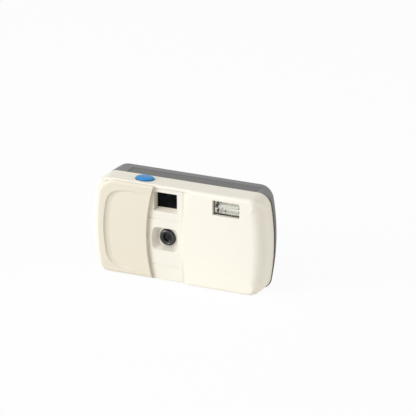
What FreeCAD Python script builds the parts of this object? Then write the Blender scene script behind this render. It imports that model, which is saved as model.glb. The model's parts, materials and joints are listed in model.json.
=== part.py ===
import FreeCAD, Part
import os
from math import sin, cos, tan, pi, sqrt, atan2

# Reusable film camera, millimetres. Front is -Y, the viewer's right is +X, +Z is up.
# The origin is under the middle of the body, on the flat base.

# driving sizes of the body
bodyWidth = 119.0
bodyHeight = 64.0
bowRadius = 145.0
cornerRadius = 9.0
blockFront = -17.0
lipFront = -15.3
panelFront = -14.6
seamY = -1.5
rearY = 17.0
rightProud = 0.7
rightDraw = 6.7
leftDraw = 1.5
skin = 1.6
midHeight = bodyHeight / 2
lipLow = bodyHeight - 2.1

# optical axis, film plane and film standard
lensX = -9.3
lensZ = 28.3
filmY = 10.0
gateWide = 36.0
gateTall = 24.0

# clearances
runningGap = 0.05
partGap = 0.3
seamGap = 0.1

vec = FreeCAD.Vector


def box(x0, x1, y0, y1, z0, z1):
    return Part.makeBox(x1 - x0, y1 - y0, z1 - z0, vec(x0, y0, z0))


def rodZ(x, y, z0, z1, radius):
    return Part.makeCylinder(radius, z1 - z0, vec(x, y, z0), vec(0, 0, 1))


def rodY(x, z, y0, y1, radius):
    return Part.makeCylinder(radius, y1 - y0, vec(x, y0, z), vec(0, 1, 0))


def rodX(y, z, x0, x1, radius):
    return Part.makeCylinder(radius, x1 - x0, vec(x0, y, z), vec(1, 0, 0))


def coneY(x, z, y0, y1, r0, r1):
    return Part.makeCone(r0, r1, y1 - y0, vec(x, y0, z), vec(0, 1, 0))


def joined(first, *others):
    return first.fuse(list(others)).removeSplitter()


def roundEdges(shape, radius, chosen):
    return shape.makeFillet(radius, [edge for edge in shape.Edges if chosen(edge.BoundBox)])


def alongY(bound):
    return bound.YLength > 0.05 and bound.XLength < 0.01 and bound.ZLength < 0.01


def alongZ(bound):
    return bound.ZLength > 0.05 and bound.XLength < 0.01 and bound.YLength < 0.01


# rounded block whose edges along Y have one radius
def padY(x0, x1, y0, y1, z0, z1, radius):
    return roundEdges(box(x0, x1, y0, y1, z0, z1), radius, alongY)


# rounded block whose edges along Z have one radius
def padZ(x0, x1, y0, y1, z0, z1, radius):
    return roundEdges(box(x0, x1, y0, y1, z0, z1), radius, alongZ)


def ringWire(points):
    return Part.makePolygon(points + [points[0]])


# one corner arc of the bowed outline: its end on the level edge, its middle, its end on the bow
def cornerArc(side, upper, inset, level, radius, y):
    bowX = side * (bodyWidth / 2 - inset - bowRadius)
    centreZ = level - radius if upper else level + radius
    reach = bowRadius - radius
    centreX = bowX + side * sqrt(reach ** 2 - (centreZ - midHeight) ** 2)
    grow = bowRadius / reach
    bowEnd = vec(bowX + (centreX - bowX) * grow, y, midHeight + (centreZ - midHeight) * grow)
    centre = vec(centreX, y, centreZ)
    flatEnd = vec(centreX, y, level)
    middle = (bowEnd - centre) + (flatEnd - centre)
    middle.normalize()
    return flatEnd, centre + middle * radius, bowEnd


# rounded rectangle with bowed ends, in the plane y, drawn in by right, top and bottom insets
def outline(y, left, right, level, corner):
    low = [cornerArc(side, False, inset, level, corner, y) for side, inset in ((1, right), (-1, left))]
    high = [cornerArc(side, True, inset, bodyHeight - level, corner, y) for side, inset in ((1, right),
        (-1, left))]
    rightBow = Part.Arc(low[0][2], vec(bodyWidth / 2 - right, y, midHeight), high[0][2])
    leftBow = Part.Arc(high[1][2], vec(left - bodyWidth / 2, y, midHeight), low[1][2])
    edges = [Part.LineSegment(low[1][0], low[0][0]), Part.Arc(*low[0]), rightBow,
        Part.Arc(*reversed(high[0]))]
    edges += [Part.LineSegment(high[0][0], high[1][0]), Part.Arc(*high[1]), leftBow,
        Part.Arc(*reversed(low[1]))]
    return Part.Wire([edge.toShape() for edge in edges])


def outlinePrism(y0, y1, inset):
    wire = outline(y0, inset, inset, inset, cornerRadius - inset)
    return Part.Face(wire).extrude(vec(0, y1 - y0, 0))


# prism of the outline with its edge at faceY rounded to one radius
def softPrism(faceY, farY, inset, radius):
    solid = outlinePrism(faceY, farY, inset)
    return roundEdges(solid, radius, lambda b: abs(b.YMin - faceY) < 1e-6 and b.YLength < 1e-6)


# rounds the edge of a block at faceY, with a radius that radiusAt gives for each corner point
def swollen(block, faceY, radiusAt):
    document = FreeCAD.newDocument("swollen")
    base = document.addObject("Part::Feature", "base")
    base.Shape = block
    rounded = document.addObject("Part::Fillet", "rounded")
    rounded.Base = base
    chosen = []
    for number, edge in enumerate(block.Edges, 1):
        bound = edge.BoundBox
        if bound.YLength > 1e-4 or abs(bound.YMin - faceY) > 1e-4:
            continue
        ends = [edge.valueAt(edge.FirstParameter), edge.valueAt(edge.LastParameter)]
        chosen.append((number, radiusAt(ends[0]), radiusAt(ends[1])))
    rounded.Edges = chosen
    document.recompute()
    result = rounded.Shape.copy()
    FreeCAD.closeDocument(document.Name)
    return result


# block front: small radius round it, growing to a big one down the right end
def frontBlock(radius, endRadius):
    block = outlinePrism(blockFront, seamY, 0.0)
    return swollen(block, blockFront, lambda point: endRadius if point.x > bodyWidth / 2 - 2.5 else radius)


# rear half: its ends draw in towards the back, the right one most, and roll into the rear face
def rearBlock(nearY, farY, inset):
    share = (nearY - seamY) / (rearY - seamY)
    along = (farY - nearY) / (rearY - seamY)
    far = -30.0
    right = outline(nearY, far, inset - rightProud + rightDraw * share, inset, cornerRadius - inset)
    left = outline(nearY, inset + leftDraw * share, far, inset, cornerRadius - inset)
    towardsLeft = Part.Face(right).extrude(vec(-rightDraw * along, farY - nearY, 0))
    towardsRight = Part.Face(left).extrude(vec(leftDraw * along, farY - nearY, 0))
    return towardsLeft.common(towardsRight).removeSplitter()


# space inside the rear half, in three steps that follow its drawn-in ends
def rearHollow(nearY, slack):
    steps = []
    for farY, left, right, level in ((4.0, 2.1, 3.4, skin), (11.0, 2.7, 5.9, skin), (rearY - skin, 5.5,
        10.9, 3.1)):
        wire = outline(nearY, left + slack, right + slack, level + slack, cornerRadius - level)
        steps.append(Part.Face(wire).extrude(vec(0, farY - slack - nearY, 0)))
    return joined(*steps)


def rightOfArc(topX, middleX, bottomX, y0, y1):
    high = bodyHeight + 2.0
    low = -2.0
    far = bodyWidth
    arc = Part.Arc(vec(topX, y0, high), vec(middleX, y0, midHeight), vec(bottomX, y0, low)).toShape()
    lines = ringWireOpen([vec(bottomX, y0, low), vec(far, y0, low), vec(far, y0, high), vec(topX, y0,
        high)])
    return Part.Face(Part.Wire([arc] + lines)).extrude(vec(0, y1 - y0, 0))


def ringWireOpen(points):
    return [Part.LineSegment(a, b).toShape() for a, b in zip(points, points[1:])]


# screw with a domed head and a cross slot, axis along Y, head at the rear
def screwY(x, z, headY, length, headRadius, shankRadius):
    headTall = 1.1
    slotWide = 0.5
    rim = 0.35
    head = rodY(x, z, headY - headTall, headY - rim, headRadius)
    crown = coneY(x, z, headY - rim, headY, headRadius, headRadius - rim)
    shank = rodY(x, z, headY - headTall - length, headY - headTall, shankRadius)
    slotDeep = 0.55
    reach = headRadius * 0.62
    across = box(x - reach, x + reach, headY - slotDeep, headY + 1, z - slotWide / 2, z + slotWide / 2)
    upright = box(x - slotWide / 2, x + slotWide / 2, headY - slotDeep, headY + 1, z - reach, z + reach)
    return joined(head, crown, shank).cut([across, upright])


# spur gear about an upright axis: trapezoid teeth on a root cylinder
def gear(x, y, z0, z1, teeth, module, turn):
    pitch = teeth * module / 2
    tip = pitch + module * 0.9
    root = pitch - module * 1.15
    step = 2 * pi / teeth
    points = []
    for tooth in range(teeth):
        middle = turn + tooth * step
        for radius, share in ((root, -0.36), (tip, -0.13), (tip, 0.13), (root, 0.36)):
            angle = middle + share * step
            points.append(vec(x + radius * cos(angle), y + radius * sin(angle), z0))
    return Part.Face(ringWire(points)).extrude(vec(0, 0, z1 - z0))


# pressed coil stand-in: a thin tube with the spring's own outer size
def springTube(base, axis, length, outer, wire):
    direction = vec(*axis)
    whole = Part.makeCylinder(outer, length, vec(*base), direction)
    return whole.cut(Part.makeCylinder(outer - wire, length, vec(*base), direction))


# sliding cover sizes
coverTravel = 24.0
coverTop = 63.7
coverRightTop = -15.6
coverRightMiddle = -21.7
coverRightLow = -17.2
coverLeft = 3.1
coverCornerLow = 4.6
coverCornerHigh = 11.4
scoopLeft = -51.5
scoopRight = -8.0
scoopLow = 4.4
scoopHigh = 57.4
scoopCorner = 12.5
scoopDeep = 1.6
scoopRun = 32.0
legLeft = -51.5
legRight = -46.0
legLevels = (18.0, 46.0)
slotHalf = 1.3
blockArcTop = coverRightTop + coverTravel + 0.6
blockArcMiddle = coverRightMiddle + coverTravel + 0.6
blockArcLow = coverRightLow + coverTravel + 0.6

# button, flash and viewfinder places on the front cover
buttonX = -26.2
buttonY = -8.5
buttonHalfX = 6.2
buttonHalfY = 4.5
buttonTravel = 1.2
flashX = bodyWidth / 2 - 26.1
flashZ = bodyHeight - 8.6
flashHalfX = 9.2
flashHalfZ = 4.9
finderX = -9.2
finderZ = bodyHeight - 11.4
finderHalfX = 8.0
finderHalfZ = 6.4
windowY = -10.6
windowHalfX = 6.8
windowHalfZ = 5.0
windowX = -9.7
windowZ = bodyHeight - 11.0
recessDeep = 3.6
lensFloorBack = panelFront + recessDeep + 1.2
housingBack = -7.0
ringOuter = 5.25

# rewind, cassette, battery and winding places
cassetteX = 24.8
cassetteY = 2.2
cassetteRadius = 13.2
chamberFloor = 4.6
chamberTop = 52.2
rewindHole = 9.0
spoolX = -43.0
spoolY = 2.0
spoolChamber = 11.0
spoolChamberTop = 46.4
sprocketX = -25.4
sprocketY = filmY - 6.05
batteryX = bodyWidth / 2 - 14.2
batteryY = 5.6
batteryRadius = 5.7
batteryTop = 50.5
deckTop = 48.4
gearBase = 49.0
gearTop = 50.5
gearModule = 0.5
wheelTeeth = 12
spoolTeeth = 15
wheelX = -43.4
wheelY = spoolY + sqrt(((wheelTeeth + spoolTeeth) * gearModule / 2 + 0.06) ** 2 - (wheelX - spoolX) ** 2)
wheelRadius = 9.4
wheelLow = 54.8
wheelHigh = 59.3
frameRear = 12.9
counterX = -33.3
counterY = 8.2
counterRadius = 6.5
doorLeft = -50.6
doorRight = 41.0
doorLow = 4.0
doorHigh = 47.2
doorStepX = 9.8
doorStepHigh = 53.4
doorFront = 15.4
hingeX = -53.2
hingeY = 14.9
doorPlace = 0.15
batteryHingeX = batteryX + 6.3
batteryHingeZ = 1.36
screwPlaces = ((44.0, 57.2), (12.0, 57.5), (-22.0, 57.5))
frontScrew = (4.2, 58.3)
pegPlace = (40.8, 8.0)
screwBore = 0.85
screwWay = 1.05


def ovalZ(x, y, halfX, halfY, z0, z1):
    ellipse = Part.Ellipse(vec(x, y, z0), halfX, halfY)
    return Part.Face(Part.Wire(ellipse.toShape())).extrude(vec(0, 0, z1 - z0))


# block with flat sides between two rectangles of four corners each
def taperY(near, far):
    rings = [near, far]
    for k in range(4):
        following = (k + 1) % 4
        rings.append([near[k], near[following], far[following], far[k]])
    solid = Part.makeSolid(Part.makeShell([Part.Face(ringWire(ring)) for ring in rings]))
    if solid.Volume < 0:
        solid.reverse()
    return solid


def rectY(x, z, halfX, halfZ, y):
    corners = ((-1, -1), (1, -1), (1, 1), (-1, 1))
    return [vec(x + sx * halfX, y, z + sz * halfZ) for sx, sz in corners]


# closed wire through corner points, each corner rounded to its own radius
def roundedWire(points, radii):
    edges = []
    ends = []
    for before, corner, after, radius in zip(points[-1:] + points, points, points[1:] + points[:1], radii):
        toBefore = (before - corner).normalize()
        toAfter = (after - corner).normalize()
        half = toBefore.getAngle(toAfter) / 2
        run = radius / tan(half)
        inward = (toBefore + toAfter).normalize()
        middle = corner + inward * (radius / sin(half) - radius)
        ends.append((corner + toBefore * run, middle, corner + toAfter * run))
    for this, following in zip(ends, ends[1:] + ends[:1]):
        edges.append(Part.Arc(*this).toShape())
        edges.append(Part.LineSegment(this[2], following[0]).toShape())
    return Part.Wire(edges)


# recess round the lens: a rounded shape with bowed sides, its walls sloping in to the ring
def lensRecess():
    rims = []
    rims.append((panelFront - 0.01, lensX - 0.5, lensZ - 0.5, 9.4, 7.6, 2.8))
    rims.append((panelFront + recessDeep, lensX, lensZ, 6.2, 5.7, 2.4))
    wires = []
    for y, x, z, halfX, halfZ, corner in rims:
        spread = ((-0.82, 1), (0.84, 1), (1, 0.1), (0.9, -1), (-0.88, -1), (-1, 0.1))
        points = [vec(x + halfX * across, y, z + halfZ * up) for across, up in spread]
        wires.append(roundedWire(points, (corner, corner, 9.0, corner, corner, 9.0)))
    return Part.makeLoft(wires, True, True)


# outside of the front cover: the swollen block with the panel and the lip over it cut back
def frontOutside():
    solid = frontBlock(2.4, 8.0)
    region = rightOfArc(blockArcTop, blockArcMiddle, blockArcLow, blockFront - 1, seamY + 1)
    softEdge = 1.6
    panelCut = box(-bodyWidth, bodyWidth / 2, blockFront - 1, panelFront + softEdge, -3, lipLow)
    panelCut = panelCut.cut([region, softPrism(panelFront, seamY, -0.03, softEdge)])
    lipCut = box(-bodyWidth, bodyWidth / 2, blockFront - 1, lipFront, lipLow - 0.1,
        bodyHeight + 3).cut(region)
    # shadow line under the lip
    lipLine = box(-50.0, bodyWidth / 2, lipFront - 1, panelFront + 0.8, lipLow - 0.5, lipLow).cut(region)
    return solid.cut([panelCut, lipCut, lipLine])


def frontInside():
    panel = outlinePrism(panelFront + skin, seamY + 0.01, skin)
    grow = skin + 0.4
    region = rightOfArc(blockArcTop + grow, blockArcMiddle + grow, blockArcLow + grow, blockFront - 1,
        seamY + 1)
    faces = []
    for y, right, level in ((blockFront + skin, 7.6, 1.9), (blockFront + skin + 0.6, 5.4, 1.7)):
        faces.append(outline(y, skin, right, level, 5.0))
    faces.append(outline(blockFront + 4.2, skin, 2.6, skin, 6.6))
    faces.append(outline(blockFront + 8.0, skin, skin, skin, cornerRadius - skin))
    block = Part.makeLoft(faces, True, True)
    return joined(panel, block.common(region))


def frontCover():
    shell = frontOutside().cut(frontInside())
    pocketWall = 1.3
    # housings round the openings, grown inward from the walls
    finder = box(finderX - finderHalfX - pocketWall, finderX + finderHalfX + pocketWall,
        panelFront + 0.5, windowY + 1.2,
                 finderZ - finderHalfZ - pocketWall, finderZ + finderHalfZ + pocketWall)
    lensBox = padY(lensX - 10.6, lensX + 10.4, panelFront + 0.5, panelFront + recessDeep + 1.2,
                   lensZ - 9.2, lensZ + 8.6, 3.0)
    flash = box(flashX - flashHalfX - pocketWall, flashX + flashHalfX + pocketWall, blockFront + 0.5,
        blockFront + 2.6,
                flashZ - flashHalfZ - pocketWall, flashZ + flashHalfZ + pocketWall)
    postRadius = 2.3
    posts = [rodY(*pegPlace, -16.0, seamY - 0.6, postRadius), rodY(*frontScrew, -14.2, seamY - 0.6,
        postRadius)]
    shell = joined(shell, finder, lensBox, flash, *posts)
    # pocket of the viewfinder, tapered to its window, with the window's seat behind
    finderCut = taperY(rectY(finderX, finderZ, finderHalfX, finderHalfZ, panelFront - 0.01),
                       rectY(windowX, windowZ, windowHalfX, windowHalfZ, windowY + 0.01))
    windowSeat = box(windowX - windowHalfX - 0.6, windowX + windowHalfX + 0.6, windowY, windowY + 2,
                     windowZ - windowHalfZ - 0.6, windowZ + windowHalfZ + 0.6)
    lensHole = rodY(lensX, lensZ, panelFront, panelFront + 8, ringOuter + partGap)
    flashCut = taperY(rectY(flashX, flashZ, flashHalfX, flashHalfZ, blockFront - 0.01),
                      rectY(flashX, flashZ, flashHalfX - 0.5, flashHalfZ - 0.4, blockFront + 1.7))
    flashSeat = box(flashX - flashHalfX, flashX + flashHalfX, blockFront + 1.65, blockFront + 5,
                    flashZ - flashHalfZ, flashZ + flashHalfZ)
    buttonHole = ovalZ(buttonX, buttonY, buttonHalfX + 0.35, buttonHalfY + 0.35, bodyHeight - 3,
        bodyHeight + 1)
    slots = [box(legLeft - 0.4, legRight + coverTravel + 0.4, panelFront - 1, panelFront + skin + 1,
                 level - slotHalf, level + slotHalf) for level in legLevels]
    # shallow guide lines across the panel
    lineDeep = 0.25
    lines = [box(legRight + coverTravel + 1, blockArcMiddle + 5, panelFront - 1, panelFront + lineDeep,
        low, low + 1.0)
             for low in (10.2, 40.6)]
    rewindCut = rodZ(cassetteX, cassetteY, -1, skin + 1.7, rewindHole + 0.15)
    postHoles = [rodY(*frontScrew, -9.0, seamY, screwBore)]
    cuts = [finderCut, windowSeat, lensRecess(), lensHole, flashCut, flashSeat, buttonHole, rewindCut]
    return shell.cut(cuts + slots + lines + postHoles)


# rear shell with the door opening, hinge bosses and openings for eyepiece, counter, wheel and switch
def rearOutside():
    def radiusAt(point):
        if point.x > bodyWidth / 2 + rightProud - rightDraw - 2.5:
            return 8.0
        return 6.5 if point.x < leftDraw + 2.5 - bodyWidth / 2 else 5.2

    return swollen(rearBlock(seamY + seamGap, rearY, 0.0), rearY, radiusAt)


def doorSpace(grow):
    low = box(doorLeft - grow, doorRight + grow, 9.0, rearY + 1, doorLow - grow, doorHigh + grow)
    step = box(doorStepX - grow, doorRight + grow, 9.0, rearY + 1, doorLow - grow, doorStepHigh + grow)
    return joined(low, step)


eyeX = finderX
eyeZ = bodyHeight - 11.2
eyeHalfX = 5.6
eyeHalfZ = 3.9
switchX = 22.0
switchZ = bodyHeight - 6.6
lampX = 36.0
latchX = doorRight + 4.6
latchZ = 28.0
lugX = -bodyWidth / 2 - 1.7
lugZ = bodyHeight - 14.0


def rearShell():
    outside = rearOutside()
    shell = outside.cut(rearHollow(seamY - 1, 0.0))
    bosses = [rodY(x, z, 7.0, rearY - 0.6, 2.3) for x, z in screwPlaces]
    hingeBlocks = [box(-57.2, hingeX + 2.6, 11.6, rearY - 0.7, low, high) for low, high in ((1.4, 3.6),
        (47.8, 50.2))]
    hingeBlocks = [block.common(outside) for block in hingeBlocks]
    # strap loop moulded on the left end
    lug = padY(lugX - 2.2, lugX + 4.6, 8.2, 11.2, lugZ - 3.6, lugZ + 3.6, 1.6)
    shell = joined(shell, lug, *(bosses + hingeBlocks))
    topStrip = box(-41.6, 47.0, seamY - 1, 7.0 + seamGap, bodyHeight - 3, bodyHeight + 1)
    hingeSlot = box(hingeX - 2.3, doorLeft + 0.4, 10.8, rearY + 1, 3.75, 47.65)
    wheelSlot = box(wheelX - 7.6, wheelX + 7.6, 13.0, rearY + 1, wheelLow - 0.5, wheelHigh + 0.4)
    eyeHole = box(eyeX - eyeHalfX - 0.2, eyeX + eyeHalfX + 0.2, 13.0, rearY + 1,
                  eyeZ - eyeHalfZ - 0.2, eyeZ + eyeHalfZ + 0.2)
    counterHole = rodY(counterX, 51.8, 13.0, rearY + 1, 2.6)
    switchSlot = box(switchX - 5.0, switchX + 5.0, 13.0, rearY + 1, switchZ - 0.8, switchZ + 0.8)
    lampHole = rodY(lampX, switchZ, 13.0, rearY + 1, 1.3)
    latchSlot = padY(latchX - 4.2, latchX + 3.4, rearY - 1.0, rearY + 1, latchZ - 6.0, latchZ + 6.0, 1.2)
    latchWay = joined(box(latchX - 5.6, latchX + 2.9, 12.6, rearY - 0.9, latchZ - 2.3, latchZ + 2.3),
                      box(latchX, latchX + 3.7, 12.6, 15.0, latchZ - 2.3, latchZ + 2.3),
                      box(latchX + 3.6, latchX + 4.5, 10.9, 14.5, latchZ - 3.5, latchZ + 3.5))
    batteryHole = box(batteryX - 6.2, batteryX + 6.2, batteryY - 6.6, batteryY + 6.4, -1, skin + 2)
    knuckleHole = box(batteryX + 5.0, batteryHingeX + 1.0, batteryY - 2.8, batteryY + 2.8, -1, skin + 2)
    batteryPinHole = rodY(batteryHingeX, batteryHingeZ, batteryY - 5.0, batteryY + 5.0, 0.45)
    rewindCut = rodZ(cassetteX, cassetteY, -1, skin + 1.7, rewindHole + 0.15)
    releaseHole = rodZ(sprocketX, sprocketY + 4.0, -1, skin + 1, 2.1)
    lugHole = rodY(lugX, lugZ, 7.0, 12.0, 1.7)
    pinHole = rodZ(hingeX, hingeY, 2.6, 49.6, 0.9)
    cuts = [doorSpace(0.0), topStrip, hingeSlot, wheelSlot, eyeHole, counterHole, switchSlot, lampHole,
        latchSlot]
    wheelRoom = rodZ(wheelX, wheelY, wheelLow - 0.5, wheelHigh + 0.4, wheelRadius + 0.5)
    cuts += [wheelRoom, latchWay, batteryHole, knuckleHole, batteryPinHole, rewindCut, releaseHole,
        lugHole, pinHole]
    cuts += [rodY(x, z, 3.0, rearY + 1, screwWay) for x, z in screwPlaces]
    cuts += [rodY(x, z, rearY - 1.7, rearY + 1, 2.15) for x, z in screwPlaces]
    return shell.cut(cuts)


# dark inner frame: chambers, light tunnel, film rails, decks, top strip and battery tube
def midFrame():
    floorLow = 1.8
    wall = 1.2
    tunnelFront = -5.8
    spoolWall = rodZ(spoolX, spoolY, floorLow, deckTop, spoolChamber + wall)
    cassetteWall = rodZ(cassetteX, cassetteY, floorLow, chamberTop + wall, cassetteRadius + wall)
    spoolRear = box(spoolX - spoolChamber - wall, lensX - gateWide / 2, 2.0, filmY - 1.2, floorLow, deckTop)
    cassetteRear = box(lensX + gateWide / 2, cassetteX + cassetteRadius + wall, 2.0, filmY - 1.2, floorLow,
                       chamberTop + wall)
    bridge = box(spoolX, cassetteX, filmY - 2.6, filmY - 0.4, floorLow, 46.4)
    tunnelOut = taperY(rectY(lensX, lensZ, 9.6, 8.4, tunnelFront),
                       rectY(lensX, lensZ, gateWide / 2 + 1.4, gateTall / 2 + 1.2, filmY - 1.0))
    facePlate = padY(lensX - 11.4, lensX + 11.4, tunnelFront - 1.2, tunnelFront + 0.4, lensZ - 11.2,
        lensZ + 11.2, 2.0)
    deck = box(-53.0, -20.0, -6.0, filmY + 1.9, deckTop - 1.6, deckTop)
    rails = [box(lensX - gateWide / 2 - 4, lensX + gateWide / 2 + 3, filmY - 0.5, filmY, z, z + 1.2)
             for z in (lensZ - 13.9, lensZ + 12.7)]
    topStrip = box(-41.6 + seamGap, 47.0 - seamGap, seamY + seamGap, 7.0, bodyHeight - skin - 0.1,
        bodyHeight)
    stripRibs = [box(x, x + 1.2, 2.0, 6.6, deckTop - 0.4, bodyHeight - 1.0) for x in (-21.6, 1.0)]
    finderDeck = box(-21.6, cassetteX, 2.0, 6.6, 45.4, 47.0)
    batteryTube = box(batteryX - 7.0, batteryX + 7.0, batteryY - 6.6, batteryY + 6.6, skin + 0.3,
        batteryTop + wall)
    link = box(cassetteX + 10, batteryX, -2.0, 2.6, 6.0, 50.0)
    cup = rodZ(cassetteX, cassetteY, 0.3, chamberFloor, rewindHole)
    posts = [rodY(x, z, 2.4, 6.9, 2.3) for x, z in screwPlaces]
    posts += [box(x - 0.6, x + 0.6, 2.4, 6.6, z, bodyHeight - 1.0) for x, z in screwPlaces]
    post = rodZ(wheelX, wheelY, deckTop - 1, wheelHigh + 0.15, 1.45)
    counterPost = rodZ(counterX, counterY, deckTop - 1, 53.95, 1.2)
    shelf = padZ(buttonX - 5.0, buttonX + 5.0, buttonY - 3.4, -1.0, 54.2, 55.4, 1.0)
    shelfLeg = box(buttonX - 3.0, buttonX + 3.0, -2.2, -1.0, deckTop - 0.6, 54.4)
    frontPosts = [rodY(*pegPlace, seamY - 0.6, 2.0, 2.3), rodY(*frontScrew, seamY - 0.6, 3.0, 2.3)]
    arms = [box(40.0, 44.0, -1.8, 0.5, 6.0, 10.0), box(1.0, 4.6, 0.5, 3.0, 56.4, 60.2)]
    solids = [cassetteWall, spoolRear, cassetteRear, bridge, tunnelOut, facePlate, deck, finderDeck]
    solids += [batteryTube, link, post, counterPost, shelf,
        shelfLeg] + rails + stripRibs + posts + frontPosts + arms
    slack = skin + 0.02
    hollow = joined(outlinePrism(blockFront, seamY + 0.01, slack), rearHollow(seamY, 0.02))
    frame = joined(joined(spoolWall, *solids).common(hollow), topStrip, cup)
    spoolSpace = rodZ(spoolX, spoolY, chamberFloor, spoolChamberTop, spoolChamber)
    spoolMouth = box(spoolX - spoolChamber, spoolX + spoolChamber, spoolY, rearY, chamberFloor,
        spoolChamberTop)
    cassetteSpace = rodZ(cassetteX, cassetteY, chamberFloor, chamberTop, cassetteRadius)
    cassetteMouth = box(cassetteX - cassetteRadius, cassetteX + cassetteRadius, cassetteY, rearY,
        chamberFloor, chamberTop)
    tunnel = taperY(rectY(lensX, lensZ, 7.0, 6.4, tunnelFront - 0.01),
                    rectY(lensX, lensZ, gateWide / 2, gateTall / 2, filmY + 0.01))
    lightHole = rodY(lensX, lensZ, tunnelFront - 2, tunnelFront + 1, 4.0)
    batterySpace = rodZ(batteryX, batteryY, -1, batteryTop, batteryRadius)
    sprocketSpace = rodZ(sprocketX, sprocketY, 40.8, 45.2, 7.6)
    sprocketHole = rodZ(sprocketX, sprocketY, 45.0, 60, 1.5 + runningGap)
    spoolHole = rodZ(spoolX, spoolY, spoolChamberTop - 1, 60, 2.0 + runningGap)
    spoolFoot = rodZ(spoolX, spoolY, floorLow - 1, chamberFloor + 1, 1.5 + runningGap)
    sprocketFoot = rodZ(sprocketX, sprocketY, 38.8, 41, 1.2 + runningGap)
    rewindSeat = rodZ(cassetteX, cassetteY, 0.0, 2.9, rewindHole - 0.9)
    rewindBore = rodZ(cassetteX, cassetteY, 0, chamberFloor + 1, 2.2 + runningGap)
    stemHole = rodZ(buttonX, buttonY, 50, 60, 1.4)
    screwBores = [rodY(x, z, 1.0, 7.5, screwBore) for x, z in screwPlaces] + [rodY(*frontScrew, -4.0,
        4.0, screwWay)]
    behind = box(-bodyWidth, bodyWidth, frameRear, rearY + 5, -1, bodyHeight + 1)
    flashNotch = box(flashX - 10.2, flashX + 10.2, blockFront, cassetteY - cassetteRadius - 0.05, 50.0,
        56.0)
    hingeRoom = box(-bodyWidth, doorLeft + 0.5, 11.5, rearY, -1, 51.0)
    reflectorNotch = box(flashX - 10.2, flashX + 10.2, blockFront, -10.2, 52.7, 56.0)
    releaseY = sprocketY + 4.0
    releaseSpace = box(sprocketX - 3.4, sprocketX + 3.4, releaseY - 3.0, frameRear, -1, 6.4)
    knuckleSpace = box(batteryHingeX - 1.4, batteryHingeX + 1.6, batteryY - 3.0, batteryY + 3.0, 1, 2.8)
    cuts = [behind, hingeRoom, flashNotch, reflectorNotch, releaseSpace, knuckleSpace, spoolSpace,
        spoolMouth, cassetteSpace, cassetteMouth, tunnel, lightHole, batterySpace, sprocketSpace]
    cuts += [sprocketHole, spoolHole, spoolFoot, sprocketFoot, rewindSeat, rewindBore,
        stemHole] + screwBores
    return frame.cut(cuts)


# sliding front cover with the scooped thumb rest; its left edge stands in from the body's end
def lensCover():
    backY = panelFront - 0.15
    level = 0.9
    halves = []
    for corner, low, high in ((coverCornerLow, -5, midHeight), (coverCornerHigh, midHeight,
        bodyHeight + 5)):
        face = Part.Face(outline(blockFront, coverLeft, level, level, corner))
        prism = face.extrude(vec(0, backY - blockFront, 0))
        halves.append(prism.common(box(-bodyWidth, bodyWidth, blockFront - 1, backY + 1, low, high)))
    solid = halves[0].fuse(halves[1]).removeSplitter()
    solid = roundEdges(solid, 1.9, lambda b: abs(b.YMin - blockFront) < 1e-6 and b.YLength < 1e-6)
    away = rightOfArc(coverRightTop, coverRightMiddle, coverRightLow, blockFront - 1, seamY)
    lipSpace = box(-bodyWidth, bodyWidth, lipFront - 0.15, seamY, lipLow - partGap, bodyHeight + 1)
    return solid.cut([away, lipSpace]).cut(thumbScoop())


# rim of the scoop, drawn in by inset, in the plane y
def scoopWire(y, inset):
    left = scoopLeft + inset
    low = scoopLow + inset
    high = scoopHigh - inset
    right = scoopRight
    corner = scoopCorner - inset * 0.5
    offset = 0.9 + corner * (1 - sqrt(0.5))
    drop = corner * (1 - sqrt(0.5))
    lowMiddle = vec(left + offset, y, low + drop)
    highMiddle = vec(left + offset, y, high - drop)
    foot = vec(left + 1.2, y, low + corner)
    top = vec(left + 1.2, y, high - corner)
    middle = vec(left, y, (low + high) / 2 + 3)
    lowEnd = vec(left + corner + 1.5, y, low)
    highEnd = vec(left + corner + 1.5, y, high)
    lowRight = vec(right, y, low)
    highRight = vec(right, y, high)
    edges = [Part.LineSegment(lowRight, lowEnd), arcThrough(lowEnd, lowMiddle, foot)]
    edges += [arcThrough(foot, middle, top), arcThrough(top, highMiddle, highEnd)]
    edges += [Part.LineSegment(highEnd, highRight), Part.LineSegment(highRight, lowRight)]
    return Part.Wire([edge.toShape() for edge in edges])


# curve through three points
def arcThrough(first, middle, last):
    curve = Part.BSplineCurve()
    curve.interpolate([first, middle, last])
    return curve


# hollow that starts steep at its left rim, flattens, and rises to nothing at the right
def thumbScoop():
    steps = ((-0.04, -0.04), (0.5, 0.33), (1.3, 0.6), (2.8, 0.82), (5.5, 0.95), (9.0, 1.0))
    hollow = Part.makeLoft([scoopWire(blockFront + scoopDeep * share, inset) for inset, share in steps],
        True, True)
    slope = scoopDeep / scoopRun
    start = scoopLeft - 6
    corners = [vec(start, blockFront - 1, 0), vec(scoopLeft + scoopRun + 1 / slope, blockFront - 1, 0)]
    corners.append(vec(start, blockFront + scoopDeep + 6 * slope, 0))
    wedge = Part.Face(ringWire(corners)).extrude(vec(0, 0, bodyHeight))
    return hollow.common(wedge)


# legs and clip plate of the sliding cover, behind the front wall
def coverRunner():
    plateY0 = panelFront + skin + 0.2
    plateY1 = plateY0 + 1.1
    plate = padY(legLeft - 0.6, legRight + 0.6, plateY0, plateY1, 15.2, 48.8, 1.0)
    window = padY(legLeft + 1.2, legRight - 1.2, plateY0 - 1, plateY1 + 1, 23.0, 41.0, 1.0)
    legs = [box(legLeft, legRight, panelFront - 0.15, plateY0 + 0.2, level - slotHalf + 0.2,
        level + slotHalf - 0.2)
            for level in legLevels]
    return joined(plate.cut(window), *legs)


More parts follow.
